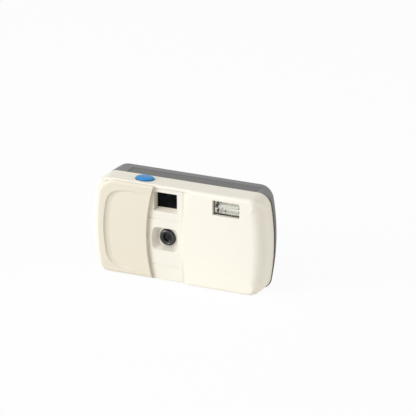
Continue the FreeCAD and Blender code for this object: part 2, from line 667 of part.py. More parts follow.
# flat spring that clicks the runner at each end of its way
def detentSpring():
    y0 = panelFront + skin
    thick = 0.35
    foot = box(-37.0, -32.0, y0, y0 + thick, 50.0, 52.6)
    arm = box(-32.5, -23.0, y0, y0 + thick, 50.6, 52.0)
    bump = rodZ(-24.4, y0 + 0.35, 50.6, 52.0, 0.6).common(box(-26, -22, y0, y0 + 2, 50, 53))
    return joined(foot, arm, bump)


def lensRing():
    front = panelFront + 1.9
    rear = lensFloorBack
    edge = 0.45
    rim = rodY(lensX, lensZ, front + edge, rear, ringOuter)
    ring = joined(rim, coneY(lensX, lensZ, front, front + edge, ringOuter - edge, ringOuter))
    cone = coneY(lensX, lensZ, front - 0.01, rear - 1.1, ringOuter - 0.9, 2.6)
    seat = rodY(lensX, lensZ, rear - 1.6, rear + 1, 3.1)
    grooves = [ringCut(front + 0.6 + 0.9 * k, 0.2, k) for k in range(2)]
    return ring.cut([cone, seat] + grooves)


# one baffle groove inside the lens ring's cone
def ringCut(y, deep, number):
    radius = 4.2 - 0.48 * number
    return rodY(lensX, lensZ, y, y + 0.25, radius + deep)


def lensElement():
    rear = lensFloorBack - 0.05
    front = rear - 1.1
    body = rodY(lensX, lensZ, front, rear, 3.0)
    dome = Part.makeSphere(6.4, vec(lensX, front + 6.1, lensZ))
    return body.common(dome)


def shutterHousing():
    front = lensFloorBack
    back = housingBack
    plate = padY(lensX - 10.2, lensX + 10.2, front, back, lensZ - 9.6, lensZ + 9.6, 2.0)
    pocket = padY(lensX - 9.0, lensX + 9.0, back - 0.9, back + 1, lensZ - 8.4, lensZ + 8.4, 1.2)
    aperture = rodY(lensX, lensZ, front - 1, back + 1, 1.8)
    pivot = rodY(lensX + 6.0, lensZ + 5.2, back - 1.2, back - 0.05, 0.9)
    return joined(plate.cut([pocket, aperture]), pivot)


bladePivotX = lensX + 6.0
bladePivotZ = lensZ + 5.2


# thin swinging blade that uncovers the opening
def shutterBlade():
    y0 = housingBack - 0.65
    y1 = y0 + 0.3
    hub = rodY(bladePivotX, bladePivotZ, y0, y1, 1.9)
    disc = rodY(lensX, lensZ, y0, y1, 3.0)
    reach = atan2(lensZ - bladePivotZ, lensX - bladePivotX)
    length = sqrt((lensX - bladePivotX) ** 2 + (lensZ - bladePivotZ) ** 2)
    arm = box(0, length, y0, y1, -1.3, 1.3)
    arm.rotate(vec(0, 0, 0), vec(0, 1, 0), -reach * 180 / pi)
    arm.translate(vec(bladePivotX, 0, bladePivotZ))
    blade = joined(hub, disc, arm)
    return blade.cut(rodY(bladePivotX, bladePivotZ, y0 - 1, y1 + 1, 0.95))


def bladeSpring():
    return springTube((bladePivotX, housingBack - 0.3, bladePivotZ), (0, 1, 0), 0.25, 1.5, 0.35)


def finderWindow():
    pane = box(windowX - windowHalfX - 0.5, windowX + windowHalfX + 0.5, windowY + 0.1, windowY + 1.1,
               windowZ - windowHalfZ - 0.5, windowZ + windowHalfZ + 0.5)
    return pane


def finderTube():
    front = windowY + 1.2
    back = 13.6
    outer = taperY(rectY(windowX, windowZ, 7.4, 5.6, front), rectY(eyeX, eyeZ, 6.2, 4.6, back))
    inner = taperY(rectY(windowX, windowZ, 6.6, 4.8, front - 0.01), rectY(eyeX, eyeZ, 5.2, 3.6,
        back + 0.01))
    return outer.cut(inner)


# rear lens of the viewfinder in its frame, standing in the rear shell's opening
def eyepieceFrame():
    outer = padY(eyeX - eyeHalfX, eyeX + eyeHalfX, 13.6, rearY + 0.9, eyeZ - eyeHalfZ, eyeZ + eyeHalfZ, 1.0)
    hole = padY(eyeX - 4.4, eyeX + 4.4, 12.0, rearY + 2, eyeZ - 2.8, eyeZ + 2.8, 0.6)
    seat = padY(eyeX - 4.9, eyeX + 4.9, rearY - 1.6, rearY - 0.2, eyeZ - 3.3, eyeZ + 3.3, 0.6)
    return outer.cut([hole, seat])


def eyepieceLens():
    return padY(eyeX - 4.8, eyeX + 4.8, rearY - 1.5, rearY - 0.3, eyeZ - 3.2, eyeZ + 3.2, 0.5)


# clear ribbed cover of the flash
def flashLens():
    y0 = blockFront + 1.75
    pane = box(flashX - flashHalfX + 0.1, flashX + flashHalfX - 0.1, y0, y0 + 0.9,
               flashZ - flashHalfZ + 0.1, flashZ + flashHalfZ - 0.1)
    ribs = [box(flashX - flashHalfX + 0.6 + 1.12 * k, flashX - flashHalfX + 1.1 + 1.12 * k, y0 + 0.65,
        y0 + 1,
                flashZ - flashHalfZ - 1, flashZ + flashHalfZ + 1) for k in range(16)]
    return pane.cut(ribs)


# trough mirror behind the flash cover, open at the front
def flashReflector():
    y0 = blockFront + 2.75
    deep = 3.6
    halfZ = flashHalfZ - 0.8
    wall = 0.4
    halfX = flashHalfX - 0.5

    def trough(grow):
        steps = 8
        points = []
        for k in range(steps + 1):
            along = -1 + 2 * k / steps
            depth = (deep + grow) * (1 - along * along) ** 0.5
            points.append(vec(flashX - halfX - grow, y0 + depth, flashZ + (halfZ + grow) * along))
        return Part.Face(ringWire(points)).extrude(vec(2 * (halfX + grow), 0, 0))

    ahead = box(flashX - 12, flashX + 12, y0 - 5, y0, flashZ - 9, flashZ + 9)
    return trough(wall).cut([trough(0.0), ahead])


flashTubeY = blockFront + 4.7


def flashTube():
    return rodX(flashTubeY, flashZ, flashX - 8.4, flashX + 8.4, 1.3)


def flashTubeEnds():
    caps = [rodX(flashTubeY, flashZ, flashX + side * 8.55 - 0.15, flashX + side * 8.55 + 0.15,
        1.2) for side in (-1, 1)]
    return caps


boardLeft = bodyWidth / 2 - 18.9
boardRear = -11.6


def flashBoard():
    right = boardLeft + 9.8
    board = box(boardLeft, right, boardRear - 1.0, boardRear, 12.0, 48.6)
    upper = box(boardLeft + 4.0, right, boardRear - 1.0, boardRear, 48.5, bodyHeight - 6.0)
    places = ((boardLeft + 1.6, 14.0), (right - 1.6, 14.0), (right - 1.6, bodyHeight - 7.6))
    return joined(board, upper).cut([rodY(x, z, boardRear - 2, boardRear + 1, 0.7) for x, z in places])


def flashCapacitor():
    x = boardLeft + 5.2
    y = boardRear + 4.7
    can = rodZ(x, y, 16.0, 44.0, 4.3)
    can = can.makeChamfer(0.5, [edge for edge in can.Edges if edge.BoundBox.ZLength < 1e-6])
    leads = [box(at - 0.3, at + 0.3, boardRear, y - 0.3, 15.0, 16.2) for at in (x - 1.2, x + 1.2)]
    return joined(can, *leads)


def flashTransformer():
    x = boardLeft + 4.6
    core = box(x, x + 4.8, boardRear, boardRear + 5.0, 49.4, bodyHeight - 7.4)
    coil = box(x - 0.4, x + 5.0, boardRear + 1.0, boardRear + 4.0, 50.6, bodyHeight - 8.6)
    return joined(core, coil)


def triggerButtonBoard():
    x = boardLeft + 0.8
    case = box(x, x + 3.2, boardRear, boardRear + 2.0, 46.2, 48.2)
    return [case, rodY(x + 1.6, 47.2, boardRear + 2.0, boardRear + 2.6, 0.9)]


# upper and lower contacts of the battery bay
def batteryContactTop():
    plate = rodZ(batteryX, batteryY, batteryTop - 0.45, batteryTop, 4.6)
    tab = box(batteryX - 1.5, batteryX + 1.5, batteryY - 5.4, batteryY, batteryTop - 0.45, batteryTop)
    return joined(plate, tab)


def shutterButton():
    cap = ovalZ(buttonX, buttonY, buttonHalfX, buttonHalfY, bodyHeight - 1.9, bodyHeight + 0.8)
    rings = []
    for rise, inset in ((0.8, 0.0), (1.35, 0.5), (1.6, 1.5)):
        ellipse = Part.Ellipse(vec(buttonX, buttonY, bodyHeight + rise), buttonHalfX - inset,
            buttonHalfY - inset)
        rings.append(Part.Wire(ellipse.toShape()))
    crown = Part.makeLoft(rings, True, True)
    flange = ovalZ(buttonX, buttonY, buttonHalfX + 1.2, buttonHalfY - 0.5, bodyHeight - 2.9,
        bodyHeight - 1.9)
    stem = rodZ(buttonX, buttonY, 53.4, bodyHeight - 2.5, 1.2)
    return joined(cap, crown, flange, stem)


# flat steel bar that carries the press down to the shutter
def releaseBar():
    foot = box(-27.2, -20.6, -9.7, -8.1, 52.8, 53.4)
    drop = box(-21.2, -20.6, -9.7, -8.1, 38.6, 53.4)
    nose = box(-21.2, -19.8, -9.7, -8.1, 38.6, 39.2)
    return joined(foot, drop, nose)


def buttonSpring():
    return springTube((buttonX, buttonY, 55.4), (0, 0, 1), bodyHeight - 2.9 - 55.4, 2.2, 0.45)


# ribbed wheel turned by the thumb, with its small gear below
def thumbwheel():
    notches = 30
    rim = rodZ(wheelX, wheelY, wheelLow, wheelHigh, wheelRadius)
    cuts = []
    for k in range(notches):
        angle = 2 * pi * (k + 0.5) / notches
        notch = box(-0.45, 0.45, -0.45, 0.45, wheelLow - 1, wheelHigh + 1)
        notch.rotate(vec(0, 0, 0), vec(0, 0, 1), 45 + angle * 180 / pi)
        notch.translate(vec(wheelX + wheelRadius * cos(angle), wheelY + wheelRadius * sin(angle), 0))
        cuts.append(notch)
    dish = rodZ(wheelX, wheelY, wheelHigh - 0.7, wheelHigh + 1, wheelRadius - 2.4)
    neck = rodZ(wheelX, wheelY, gearTop - 0.3, wheelLow + 1, 2.5)
    pinion = gear(wheelX, wheelY, gearBase, gearTop, wheelTeeth, gearModule, meshAngle())
    bore = rodZ(wheelX, wheelY, gearBase - 1, wheelHigh + 1, 1.45 + runningGap)
    return joined(rim.cut(cuts + [dish]), neck, pinion).cut(bore)


# direction from the wheel's axis to the spool's axis: a tooth of the wheel points along it
def meshAngle():
    return atan2(spoolY - wheelY, spoolX - wheelX)


def wheelScrew():
    head = rodZ(wheelX, wheelY, wheelHigh + 0.15, wheelHigh + 1.0, 2.3)
    slot = box(wheelX - 1.9, wheelX + 1.9, wheelY - 0.3, wheelY + 0.3, wheelHigh + 0.6, wheelHigh + 2)
    return head.cut(slot)


# take-up spool: two flanges, slotted hub, journals and the gear above the deck
def takeUpSpool():
    low = chamberFloor + 0.3
    hub = rodZ(spoolX, spoolY, low, 45.9, 5.6)
    flanges = [rodZ(spoolX, spoolY, low, low + 1.0, 9.6), rodZ(spoolX, spoolY, 44.9, 45.9, 9.6)]
    upper = rodZ(spoolX, spoolY, 45.5, gearTop, 2.0)
    lower = rodZ(spoolX, spoolY, 2.4, low + 1, 1.5)
    turn = meshAngle() + pi + pi / spoolTeeth
    wheel = gear(spoolX, spoolY, gearBase, gearTop, spoolTeeth, gearModule, turn)
    slit = box(spoolX - 0.7, spoolX + 0.7, spoolY - 8, spoolY + 8, 12.0, 40.0)
    hooks = [box(spoolX + 0.7, spoolX + 1.5, spoolY + 5.0, spoolY + 6.1, z, z + 1.6) for z in (13.4, 38.0)]
    return joined(hub.cut(slit), upper, lower, wheel, *(flanges + hooks))


# four-sided pin along X, narrowing outwards
def taperX(rootX, rootHalf, tipX, tipHalf, z):
    pin = taperY(rectY(0, 0, rootHalf, rootHalf, 0), rectY(0, 0, tipHalf, tipHalf, tipX - rootX))
    pin.rotate(vec(0, 0, 0), vec(0, 0, 1), -90)
    pin.translate(vec(rootX, 0, z))
    return pin


# toothed wheel that the film's edge holes turn, with its upright shaft
def sprocketShaft():
    teeth = 8
    toothTip = 7.1
    disc = rodZ(sprocketX, sprocketY, 41.3, 43.7, 6.0)
    pins = []
    for k in range(teeth):
        pin = taperX(5.6, 0.8, toothTip, 0.4, 42.5)
        pin.rotate(vec(0, 0, 0), vec(0, 0, 1), (k + 0.5) * 360 / teeth)
        pin.translate(vec(sprocketX, sprocketY, 0))
        pins.append(pin)
    shaft = rodZ(sprocketX, sprocketY, 43.5, 51.4, 1.5)
    foot = rodZ(sprocketX, sprocketY, 39.4, 41.4, 1.2)
    return joined(disc, shaft, foot, *pins)


# finger pressed on the sprocket shaft that steps the counter
def counterFinger():
    ring = rodZ(sprocketX, sprocketY, 49.0, 50.2, 2.0)
    reach = sqrt((counterX - sprocketX) ** 2 + (counterY - sprocketY) ** 2) - 6.3 - 0.15
    finger = box(0, reach, -0.35, 0.35, 49.0, 50.2)
    finger.rotate(vec(0, 0, 0), vec(0, 0, 1), atan2(counterY - sprocketY, counterX - sprocketX) * 180 / pi)
    finger.translate(vec(sprocketX, sprocketY, 0))
    reachDisc = rodZ(sprocketX, sprocketY, 49.0, 50.2, reach)
    return joined(ring, finger).common(reachDisc).cut(rodZ(sprocketX, sprocketY, 48, 52, 1.5))


# frame counter: toothed drum with a figured rim and a lower edge of fine teeth
def counterDial():
    teeth = 20
    drum = rodZ(counterX, counterY, 50.4, 53.8, counterRadius - 0.2)
    base = []
    points = []
    for k in range(teeth):
        for radius, share in ((5.6, -0.3), (6.3, -0.12), (6.3, 0.12), (5.6, 0.3)):
            angle = 2 * pi * (k + share) / teeth
            points.append(vec(counterX + radius * cos(angle), counterY + radius * sin(angle), 49.0))
    base.append(Part.Face(ringWire(points)).extrude(vec(0, 0, 1.5)))
    dish = rodZ(counterX, counterY, 52.6, 55, counterRadius - 1.6)
    hub = rodZ(counterX, counterY, 52.0, 53.8, 2.2)
    bore = rodZ(counterX, counterY, 48, 56, 1.2 + runningGap)
    return joined(drum.cut(dish), hub, *base).cut(bore)


def counterScrew():
    head = rodZ(counterX, counterY, 53.95, 54.5, 1.9)
    return head.cut(box(counterX - 1.5, counterX + 1.5, counterY - 0.25, counterY + 0.25, 54.25, 56))


def counterWindow():
    inner = rodY(counterX, 51.8, rearY - skin - 0.35, rearY - skin, 3.4)
    outer = rodY(counterX, 51.8, rearY - skin - 0.2, rearY - 0.25, 2.55)
    return joined(inner, outer)


def windPawl():
    arm = box(wheelX - 10.2, wheelX - 9.4, wheelY - 6.6, wheelY - 0.6, gearBase + 0.1, gearTop - 0.1)
    foot = box(wheelX - 10.6, wheelX - 9.0, wheelY - 7.6, wheelY - 5.6, deckTop, gearTop - 0.1)
    angleTip = box(wheelX - 9.6, wheelX - 3.75, wheelY - 0.95, wheelY - 0.45, gearBase + 0.1, gearTop - 0.1)
    return joined(arm, foot, angleTip)


# rewind: forked shaft with the disc that closes the bottom seat
def rewindFork():
    disc = rodZ(cassetteX, cassetteY, 0.9, 2.7, rewindHole - 1.2)
    shaft = rodZ(cassetteX, cassetteY, 2.5, 8.4, 2.2)
    prongs = box(cassetteX - 3.3, cassetteX + 3.3, cassetteY - 0.5, cassetteY + 0.5, chamberFloor + 0.6,
        8.4)
    slot = box(cassetteX - 1.75, cassetteX + 9, cassetteY - 1.75, cassetteY + 1.75, 0.0, 1.55)
    knobSpace = rodZ(cassetteX + 4.6, cassetteY, 0.0, 1.55, 2.9)
    pinHole = rodY(cassetteX, 1.0, cassetteY - 3.5, cassetteY + 3.5, 0.4)
    slotBack = box(cassetteX - 1.75, cassetteX + 1, cassetteY - 1.75, cassetteY + 1.75, 0.0, 2.0)
    return joined(disc, shaft, prongs).cut([slot, slotBack, knobSpace, pinHole])


def rewindPin():
    return rodY(cassetteX, 1.0, cassetteY - 3.4, cassetteY + 3.4, 0.4)


# lever that folds out of the disc
def rewindLever():
    arm = box(cassetteX, cassetteX + 4.6, cassetteY - 1.4, cassetteY + 1.4, 0.6, 1.4)
    hub = rodY(cassetteX, 1.0, cassetteY - 1.4, cassetteY + 1.4, 0.8)
    end = rodZ(cassetteX + 4.6, cassetteY, 0.95, 1.4, 1.9)
    lever = joined(arm, hub, end)
    way = rodZ(cassetteX + 4.6, cassetteY, 0.0, 0.95, 2.35)
    bore = rodZ(cassetteX + 4.6, cassetteY, 0.0, 3, 0.8 + runningGap)
    return lever.cut([rodY(cassetteX, 1.0, cassetteY - 3, cassetteY + 3, 0.4 + runningGap), way, bore])


# round grip at the lever's end, spinning on its own pin
def rewindKnob():
    grip = rodZ(cassetteX + 4.6, cassetteY, 0.1, 0.9, 2.2)
    pin = rodZ(cassetteX + 4.6, cassetteY, 0.5, 1.4, 0.8)
    grips = [rodZ(cassetteX + 4.6 + 2.4 * cos(k * pi / 4), cassetteY + 2.4 * sin(k * pi / 4), 0, 1, 0.35)
             for k in range(8)]
    return joined(grip.cut(grips), pin)


def releaseButton():
    x = sprocketX
    y = sprocketY + 4.0
    cap = rodZ(x, y, 0.25, 2.4, 2.0)
    flange = rodZ(x, y, 1.9, 2.5, 2.8)
    stem = rodZ(x, y, 2.4, 4.9, 0.9)
    dimple = Part.makeCone(1.5, 0.8, 0.4, vec(x, y, 0.2), vec(0, 0, 1))
    return joined(cap.cut(dimple), flange, stem)


def releaseSpring():
    return springTube((sprocketX, sprocketY + 4.0, 2.5), (0, 0, 1), 3.0, 1.9, 0.4)


# small shelf under the film bridge that holds the release button's spring
def releaseBracket():
    x = sprocketX
    y = sprocketY + 4.0
    plate = padZ(x - 3.4, x + 3.4, y - 2.2, y + 2.2, 5.5, 6.4, 1.0)
    return plate.cut(rodZ(x, y, 4, 8, 1.05))


# hinged back door with stepped top edge, light rim and hinge tube
def backDoor():
    gap = doorPlace
    low = padY(doorLeft + gap, doorRight - gap, doorFront, rearY, doorLow + gap, doorHigh - gap, 1.2)
    step = padY(doorStepX + gap, doorRight - gap, doorFront, rearY, doorLow + gap, doorStepHigh - gap, 1.2)
    skinPlate = joined(low, step).common(rearOutside())
    rimRight = doorRight - 1.8
    rimLow = box(-46.0, rimRight, 13.9, doorFront + 0.5, 6.0, 45.8)
    rimStep = box(doorStepX + 1.6, rimRight, 13.9, doorFront + 0.5, 6.0, 52.0)
    rim = joined(rimLow, rimStep)
    inside = rimRight - 1.0
    inner = joined(box(-45.0, inside, 13, 18, 7.0, 44.8), box(doorStepX + 2.6, inside, 13, 18, 7.0, 51.0))
    inner = inner.common(box(-60, 60, 13, doorFront, 0, 60))
    rim = rim.cut(inner)
    tube = rodZ(hingeX, hingeY, 4.0, 47.4, 1.9)
    web = box(hingeX, doorLeft + 1.2, doorFront, 16.0, 4.2, 47.0)
    web = web.common(box(-60, 0, 10, 16.0, 0, 60))
    tab = box(doorRight - 1.5, doorRight + 2.0, 13.6, doorFront - 0.6, latchZ - 2.0, latchZ + 2.0)
    tabRoot = box(doorRight - 1.5, doorRight - 0.3, 13.6, doorFront + 0.2, latchZ - 2.0, latchZ + 2.0)
    guides = [box(lensX + x, lensX + x + 1.0, 12.6, doorFront + 0.4, lensZ - 6,
        lensZ + 6) for x in (-13.0, 12.0)]
    windowHole = padY(21.6, 28.0, 12.0, rearY + 1, 16.0, 42.0, 2.0)
    windowSeat = padY(20.4, 29.2, 12.0, rearY - 0.8, 14.8, 43.2, 2.4)
    ribs = [box(-41.0 + 1.9 * k, -40.0 + 1.9 * k, rearY - 0.35, rearY + 1, 12.0, 40.0) for k in range(6)]
    pinBore = rodZ(hingeX, hingeY, 3.0, 49.0, 0.9 + runningGap)
    return joined(skinPlate, rim, tube, web, tab, tabRoot, *guides).cut([windowHole, windowSeat,
        pinBore] + ribs)


def doorWindow():
    flange = padY(20.6, 29.0, rearY - 1.6, rearY - 0.8, 15.0, 43.0, 2.2)
    pane = padY(21.8, 27.8, rearY - 1.2, rearY - 0.25, 16.2, 41.8, 1.8)
    return joined(flange, pane)


def hingePin():
    return rodZ(hingeX, hingeY, 2.6, 49.6, 0.9)


# film pressure plate with its flat spring
def pressurePlate():
    plate = padY(lensX - 20.0, lensX + 20.0, filmY + 0.3, filmY + 1.3, lensZ - 16.0, lensZ + 12.4, 1.2)
    lugs = [box(lensX + x, lensX + x + 0.9, filmY + 1.2, 14.7, lensZ - 4, lensZ + 4) for x in (-11.7, 10.8)]
    return joined(plate, *lugs)


def pressureSpring():
    bow = []
    spread = 9.0
    steps = 6
    for k in range(steps + 1):
        along = -1 + 2 * k / steps
        bow.append((lensX + spread * along, doorFront - 3.7 * (1 - along * along)))
    outerSide = [vec(x, y - 0.15, lensZ - 3) for x, y in bow]
    innerSide = [vec(x, y - 0.4, lensZ - 3) for x, y in reversed(bow)]
    return Part.Face(ringWire(outerSide + innerSide)).extrude(vec(0, 0, 6.0))


# sliding catch at the right of the door
def doorLatch():
    thumb = padY(latchX - 3.9, latchX + 1.1, rearY - 0.85, rearY + 0.5, latchZ - 5.7, latchZ + 5.7, 1.0)
    ribs = [box(latchX - 3.2 + 1.1 * k, latchX - 2.7 + 1.1 * k, rearY + 0.15, rearY + 1, latchZ - 4.6,
        latchZ + 4.6)
            for k in range(4)]
    neck = box(latchX - 2.0, latchX + 0.6, 14.6, rearY - 0.8, latchZ - 2.0, latchZ + 2.0)
    slide = box(latchX - 2.4, latchX + 1.2, 13.7, 14.9, latchZ - 2.0, latchZ + 2.0)
    return joined(thumb.cut(ribs), neck, slide)


def latchSpring():
    return springTube((latchX + 1.3, 14.3, latchZ), (1, 0, 0), 2.3, 0.6, 0.25)


def latchStop():
    return box(latchX + 3.65, latchX + 4.45, 11.0, 14.45, latchZ - 3.4, latchZ + 3.4)


# battery door that follows the base, with its hinge tube along the right edge
def batteryDoor():
    shape = padZ(batteryX - 6.0, batteryX + 5.4, batteryY - 6.4, batteryY + 6.2, -1, skin, 1.0)
    tongue = box(batteryX + 4.0, batteryHingeX, batteryY - 2.6, batteryY + 2.6, -1, skin)
    plate = joined(shape, tongue).common(rearOutside())
    knuckle = rodY(batteryHingeX, batteryHingeZ, batteryY - 2.6, batteryY + 2.6, 0.8)
    notch = box(batteryX - 6.2, batteryX - 5.0, batteryY - 2.0, batteryY + 2.0, -1, 0.6)
    bore = rodY(batteryHingeX, batteryHingeZ, batteryY - 4, batteryY + 4, 0.45 + runningGap)
    return joined(plate, knuckle).cut([notch, bore])


def batteryHingePin():
    return rodY(batteryHingeX, batteryHingeZ, batteryY - 5.0, batteryY + 5.0, 0.45)


def batterySpring():
    foot = box(batteryX - 4.4, batteryX + 3.2, batteryY - 3.0, batteryY + 3.0, skin, skin + 0.3)
    coil = springTube((batteryX - 0.6, batteryY, skin + 0.3), (0, 0, 1), 2.6, 2.6, 0.5)
    return joined(foot, coil)


def flashSwitch():
    knob = padY(switchX - 4.6, switchX - 0.4, rearY + 0.05, rearY + 0.9, switchZ - 0.95, switchZ + 0.95,
        0.5)
    neck = box(switchX - 3.6, switchX - 1.4, 14.4, rearY, switchZ - 0.65, switchZ + 0.65)
    plate = box(switchX - 5.0, switchX, 14.4, rearY - skin - 0.15, switchZ - 1.4, switchZ + 1.4)
    return joined(knob, neck, plate)


def readyLamp():
    stem = rodY(lampX, switchZ, 14.2, rearY, 1.2)
    return joined(stem, coneY(lampX, switchZ, rearY, rearY + 0.3, 1.2, 0.8))


# foam strips in the frame, round the door's rim
def lightSeals():
    thick = 0.9
    y0 = 13.0
    low = box(-46.2, doorRight - 2.6, y0, y0 + thick, 4.8, 5.8)
    rail = box(-46.2, doorStepX, y0, y0 + thick, 46.2, 47.0)
    return [low, rail]


def caseScrews():
    screws = [screwY(x, z, rearY - 0.6, 11.8, 1.95, 0.8) for x, z in screwPlaces]
    return screws + [screwY(*frontScrew, 4.1, 8.0, 1.95, 0.8)]


nodes = {
    "front_cover": frontCover, "rear_shell": rearShell, "mid_frame": midFrame, "sliding_lens_cover": lensCover,
    "lens_cover_runner": coverRunner, "cover_detent_spring": detentSpring, "lens_ring": lensRing,
    "lens_element": lensElement, "shutter_housing": shutterHousing, "shutter_blade": shutterBlade,
    "shutter_blade_spring": bladeSpring, "viewfinder_window": finderWindow, "viewfinder_tube": finderTube,
    "eyepiece_frame": eyepieceFrame, "eyepiece_lens": eyepieceLens, "flash_lens": flashLens,
    "flash_reflector": flashReflector, "flash_tube": flashTube, "flash_tube_end_caps": flashTubeEnds,
    "flash_board": flashBoard, "flash_capacitor": flashCapacitor, "flash_transformer": flashTransformer,
    "flash_trigger_switch": triggerButtonBoard, "battery_top_contact": batteryContactTop,
    "shutter_button": shutterButton, "shutter_release_bar": releaseBar, "shutter_button_spring": buttonSpring,
    "wind_thumbwheel": thumbwheel, "thumbwheel_screw": wheelScrew, "take_up_spool": takeUpSpool,
    "sprocket_shaft": sprocketShaft, "counter_finger": counterFinger, "frame_counter_drum": counterDial,
    "frame_counter_screw": counterScrew, "frame_counter_window": counterWindow, "wind_pawl": windPawl,
    "rewind_fork": rewindFork, "rewind_lever_pin": rewindPin, "rewind_lever": rewindLever,
    "rewind_lever_knob": rewindKnob, "rewind_release_button": releaseButton,
    "rewind_release_spring": releaseSpring, "rewind_release_bracket": releaseBracket, "back_door": backDoor,
    "film_type_window": doorWindow, "door_hinge_pin": hingePin, "pressure_plate": pressurePlate,
    "pressure_plate_spring": pressureSpring, "door_latch": doorLatch, "door_latch_spring": latchSpring,
    "door_latch_stop": latchStop, "battery_door": batteryDoor, "battery_door_pin": batteryHingePin,
    "battery_contact_spring": batterySpring, "flash_switch": flashSwitch, "flash_ready_lamp": readyLamp,
    "door_light_seals": lightSeals, "case_screws": caseScrews,
}

os.makedirs("parts", exist_ok=True)
for name, make in nodes.items():
    made = make()
    shape = Part.makeCompound(made) if isinstance(made, list) else made
    shape.exportStep("parts/" + name + ".step")
    print(name, "valid", shape.isValid(), "solids", len(shape.Solids), "volume", round(shape.Volume, 1))
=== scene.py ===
import bpy
import bmesh
import json
from math import sin, cos, pi, radians
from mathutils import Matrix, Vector


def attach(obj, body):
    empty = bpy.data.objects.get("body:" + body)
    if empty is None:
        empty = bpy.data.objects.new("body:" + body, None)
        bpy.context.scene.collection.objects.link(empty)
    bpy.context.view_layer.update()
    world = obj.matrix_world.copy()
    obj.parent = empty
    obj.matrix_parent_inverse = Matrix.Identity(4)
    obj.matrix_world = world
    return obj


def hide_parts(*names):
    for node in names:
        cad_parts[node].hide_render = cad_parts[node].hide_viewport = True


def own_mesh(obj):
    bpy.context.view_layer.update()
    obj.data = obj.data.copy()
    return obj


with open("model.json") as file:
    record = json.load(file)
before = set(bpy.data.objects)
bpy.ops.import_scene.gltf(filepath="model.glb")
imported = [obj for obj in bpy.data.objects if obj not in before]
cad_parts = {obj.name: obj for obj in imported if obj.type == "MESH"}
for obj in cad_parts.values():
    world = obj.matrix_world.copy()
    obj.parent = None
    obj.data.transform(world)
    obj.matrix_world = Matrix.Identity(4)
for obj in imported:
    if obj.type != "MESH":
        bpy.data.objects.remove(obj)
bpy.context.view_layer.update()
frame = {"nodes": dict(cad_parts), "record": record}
nodes = frame["nodes"]
bodyOf = {node: body for body, names in frame["record"]["behaviour"]["bodies"].items()
          for node in names}
slotOf = {part["node"]: part["material_slot"] for part in frame["record"]["subparts"]}

mm = 0.001
mergeGap = 0.001 * mm  # points nearer than this are one point
samePlace = 0.001  # mm between two places that count as one


class Wire:  # a number socket that can be used in sums
    def __init__(self, maker, socket):
        self.maker = maker
        self.socket = socket

    def sum(self, operation, first, second):
        return self.maker.wire("ShaderNodeMath", {"operation": operation}, {0: first, 1: second})

    def __add__(self, other):
        return self.sum("ADD", self, other)

    def __radd__(self, other):
        return self.sum("ADD", other, self)

    def __sub__(self, other):
        return self.sum("SUBTRACT", self, other)

    def __rsub__(self, other):
        return self.sum("SUBTRACT", other, self)

    def __mul__(self, other):
        return self.sum("MULTIPLY", self, other)

    def __rmul__(self, other):
        return self.sum("MULTIPLY", other, self)


class Finish:  # one material, or the world, and its nodes
    def __init__(self, name, world=False):
        self.material = bpy.data.worlds.new(name) if world else bpy.data.materials.new(name)
        self.material.use_nodes = True
        self.tree = self.material.node_tree
        self.shader = self.tree.nodes["Background" if world else "Principled BSDF"]
        self.end = self.tree.nodes["World Output" if world else "Material Output"]
        self.place = self.wire("ShaderNodeTexCoord", {}, {}, "Object")

    def node(self, kind, settings, values):
        made = self.tree.nodes.new(kind)
        for key, value in settings.items():
            if key == "stops":
                self.setStops(made.color_ramp, value)
            else:
                setattr(made, key, value)
        for key, value in values.items():
            self.feed(made.inputs[key], value)
        return made

    def setStops(self, ramp, stops):
        while len(ramp.elements) < len(stops):
            ramp.elements.new(0.5)
        for element, (position, level) in zip(ramp.elements, stops):
            element.position = position
            element.color = (level, level, level, 1)

    def feed(self, socket, value):
        if isinstance(value, Wire):
            self.tree.links.new(value.socket, socket)
        else:
            socket.default_value = value

    def wire(self, kind, settings, values, output=0):
        return Wire(self, self.node(kind, settings, values).outputs[output])

    def noise(self, scale, detail=2.0, roughness=0.5):
        return self.wire("ShaderNodeTexNoise", {}, {"Vector": self.place, "Scale": scale,
                                                    "Detail": detail, "Roughness": roughness})

    def axis(self, name):
        return self.wire("ShaderNodeSeparateXYZ", {}, {0: self.place}, name)

    def rise(self, value, low, high):  # from 0 at low to 1 at high, in mm, whichever is larger
        if low > high:
            return 1 - self.rise(value, high, low)
        return self.wire("ShaderNodeMapRange", {"clamp": True, "interpolation_type": "SMOOTHSTEP"},
                         {0: value, 1: low * mm, 2: high * mm, 3: 0.0, 4: 1.0})

    def within(self, **limits):  # mask of a box with soft sides: axis=(low, high, softness)
        mask = None
        for axis, (low, high, soft) in limits.items():
            value = self.axis(axis)
            part = self.rise(value, low - soft, low) * self.rise(value, high + soft, high)
            mask = part if mask is None else mask * part
        return mask

    def ramp(self, factor, stops):
        return self.wire("ShaderNodeValToRGB", {"stops": stops}, {0: factor})

    def blendColour(self, factor, first, second):
        return self.wire("ShaderNodeMix", {"data_type": "RGBA"},
                         {0: factor, 6: first, 7: second}, 2)

    def paintLightAndShade(self, base, zones):  # painted light and shade: places given a darker or lighter tone than the surface's own
        for limits, tone in zones:
            base = self.blendColour(self.within(**limits), base, tone)
        return base

    def bump(self, height, strength, distance, softness=0.0):
        values = {"Height": height, "Strength": strength, "Distance": distance}
        if softness:
            values["Normal"] = self.wire("ShaderNodeBevel", {"samples": 6}, {"Radius": softness})
        return self.wire("ShaderNodeBump", {}, values)

    def set(self, **values):
        for key, value in values.items():
            self.feed(self.shader.inputs[key.replace("_", " ")], value)

    def coverWith(self, factor, other):  # another shader takes over by the factor
        mix = self.node("ShaderNodeMixShader", {}, {0: factor})
        self.tree.links.new(self.shader.outputs[0], mix.inputs[1])
        self.tree.links.new(other.outputs[0], mix.inputs[2])
        self.tree.links.new(mix.outputs[0], self.end.inputs["Surface"])


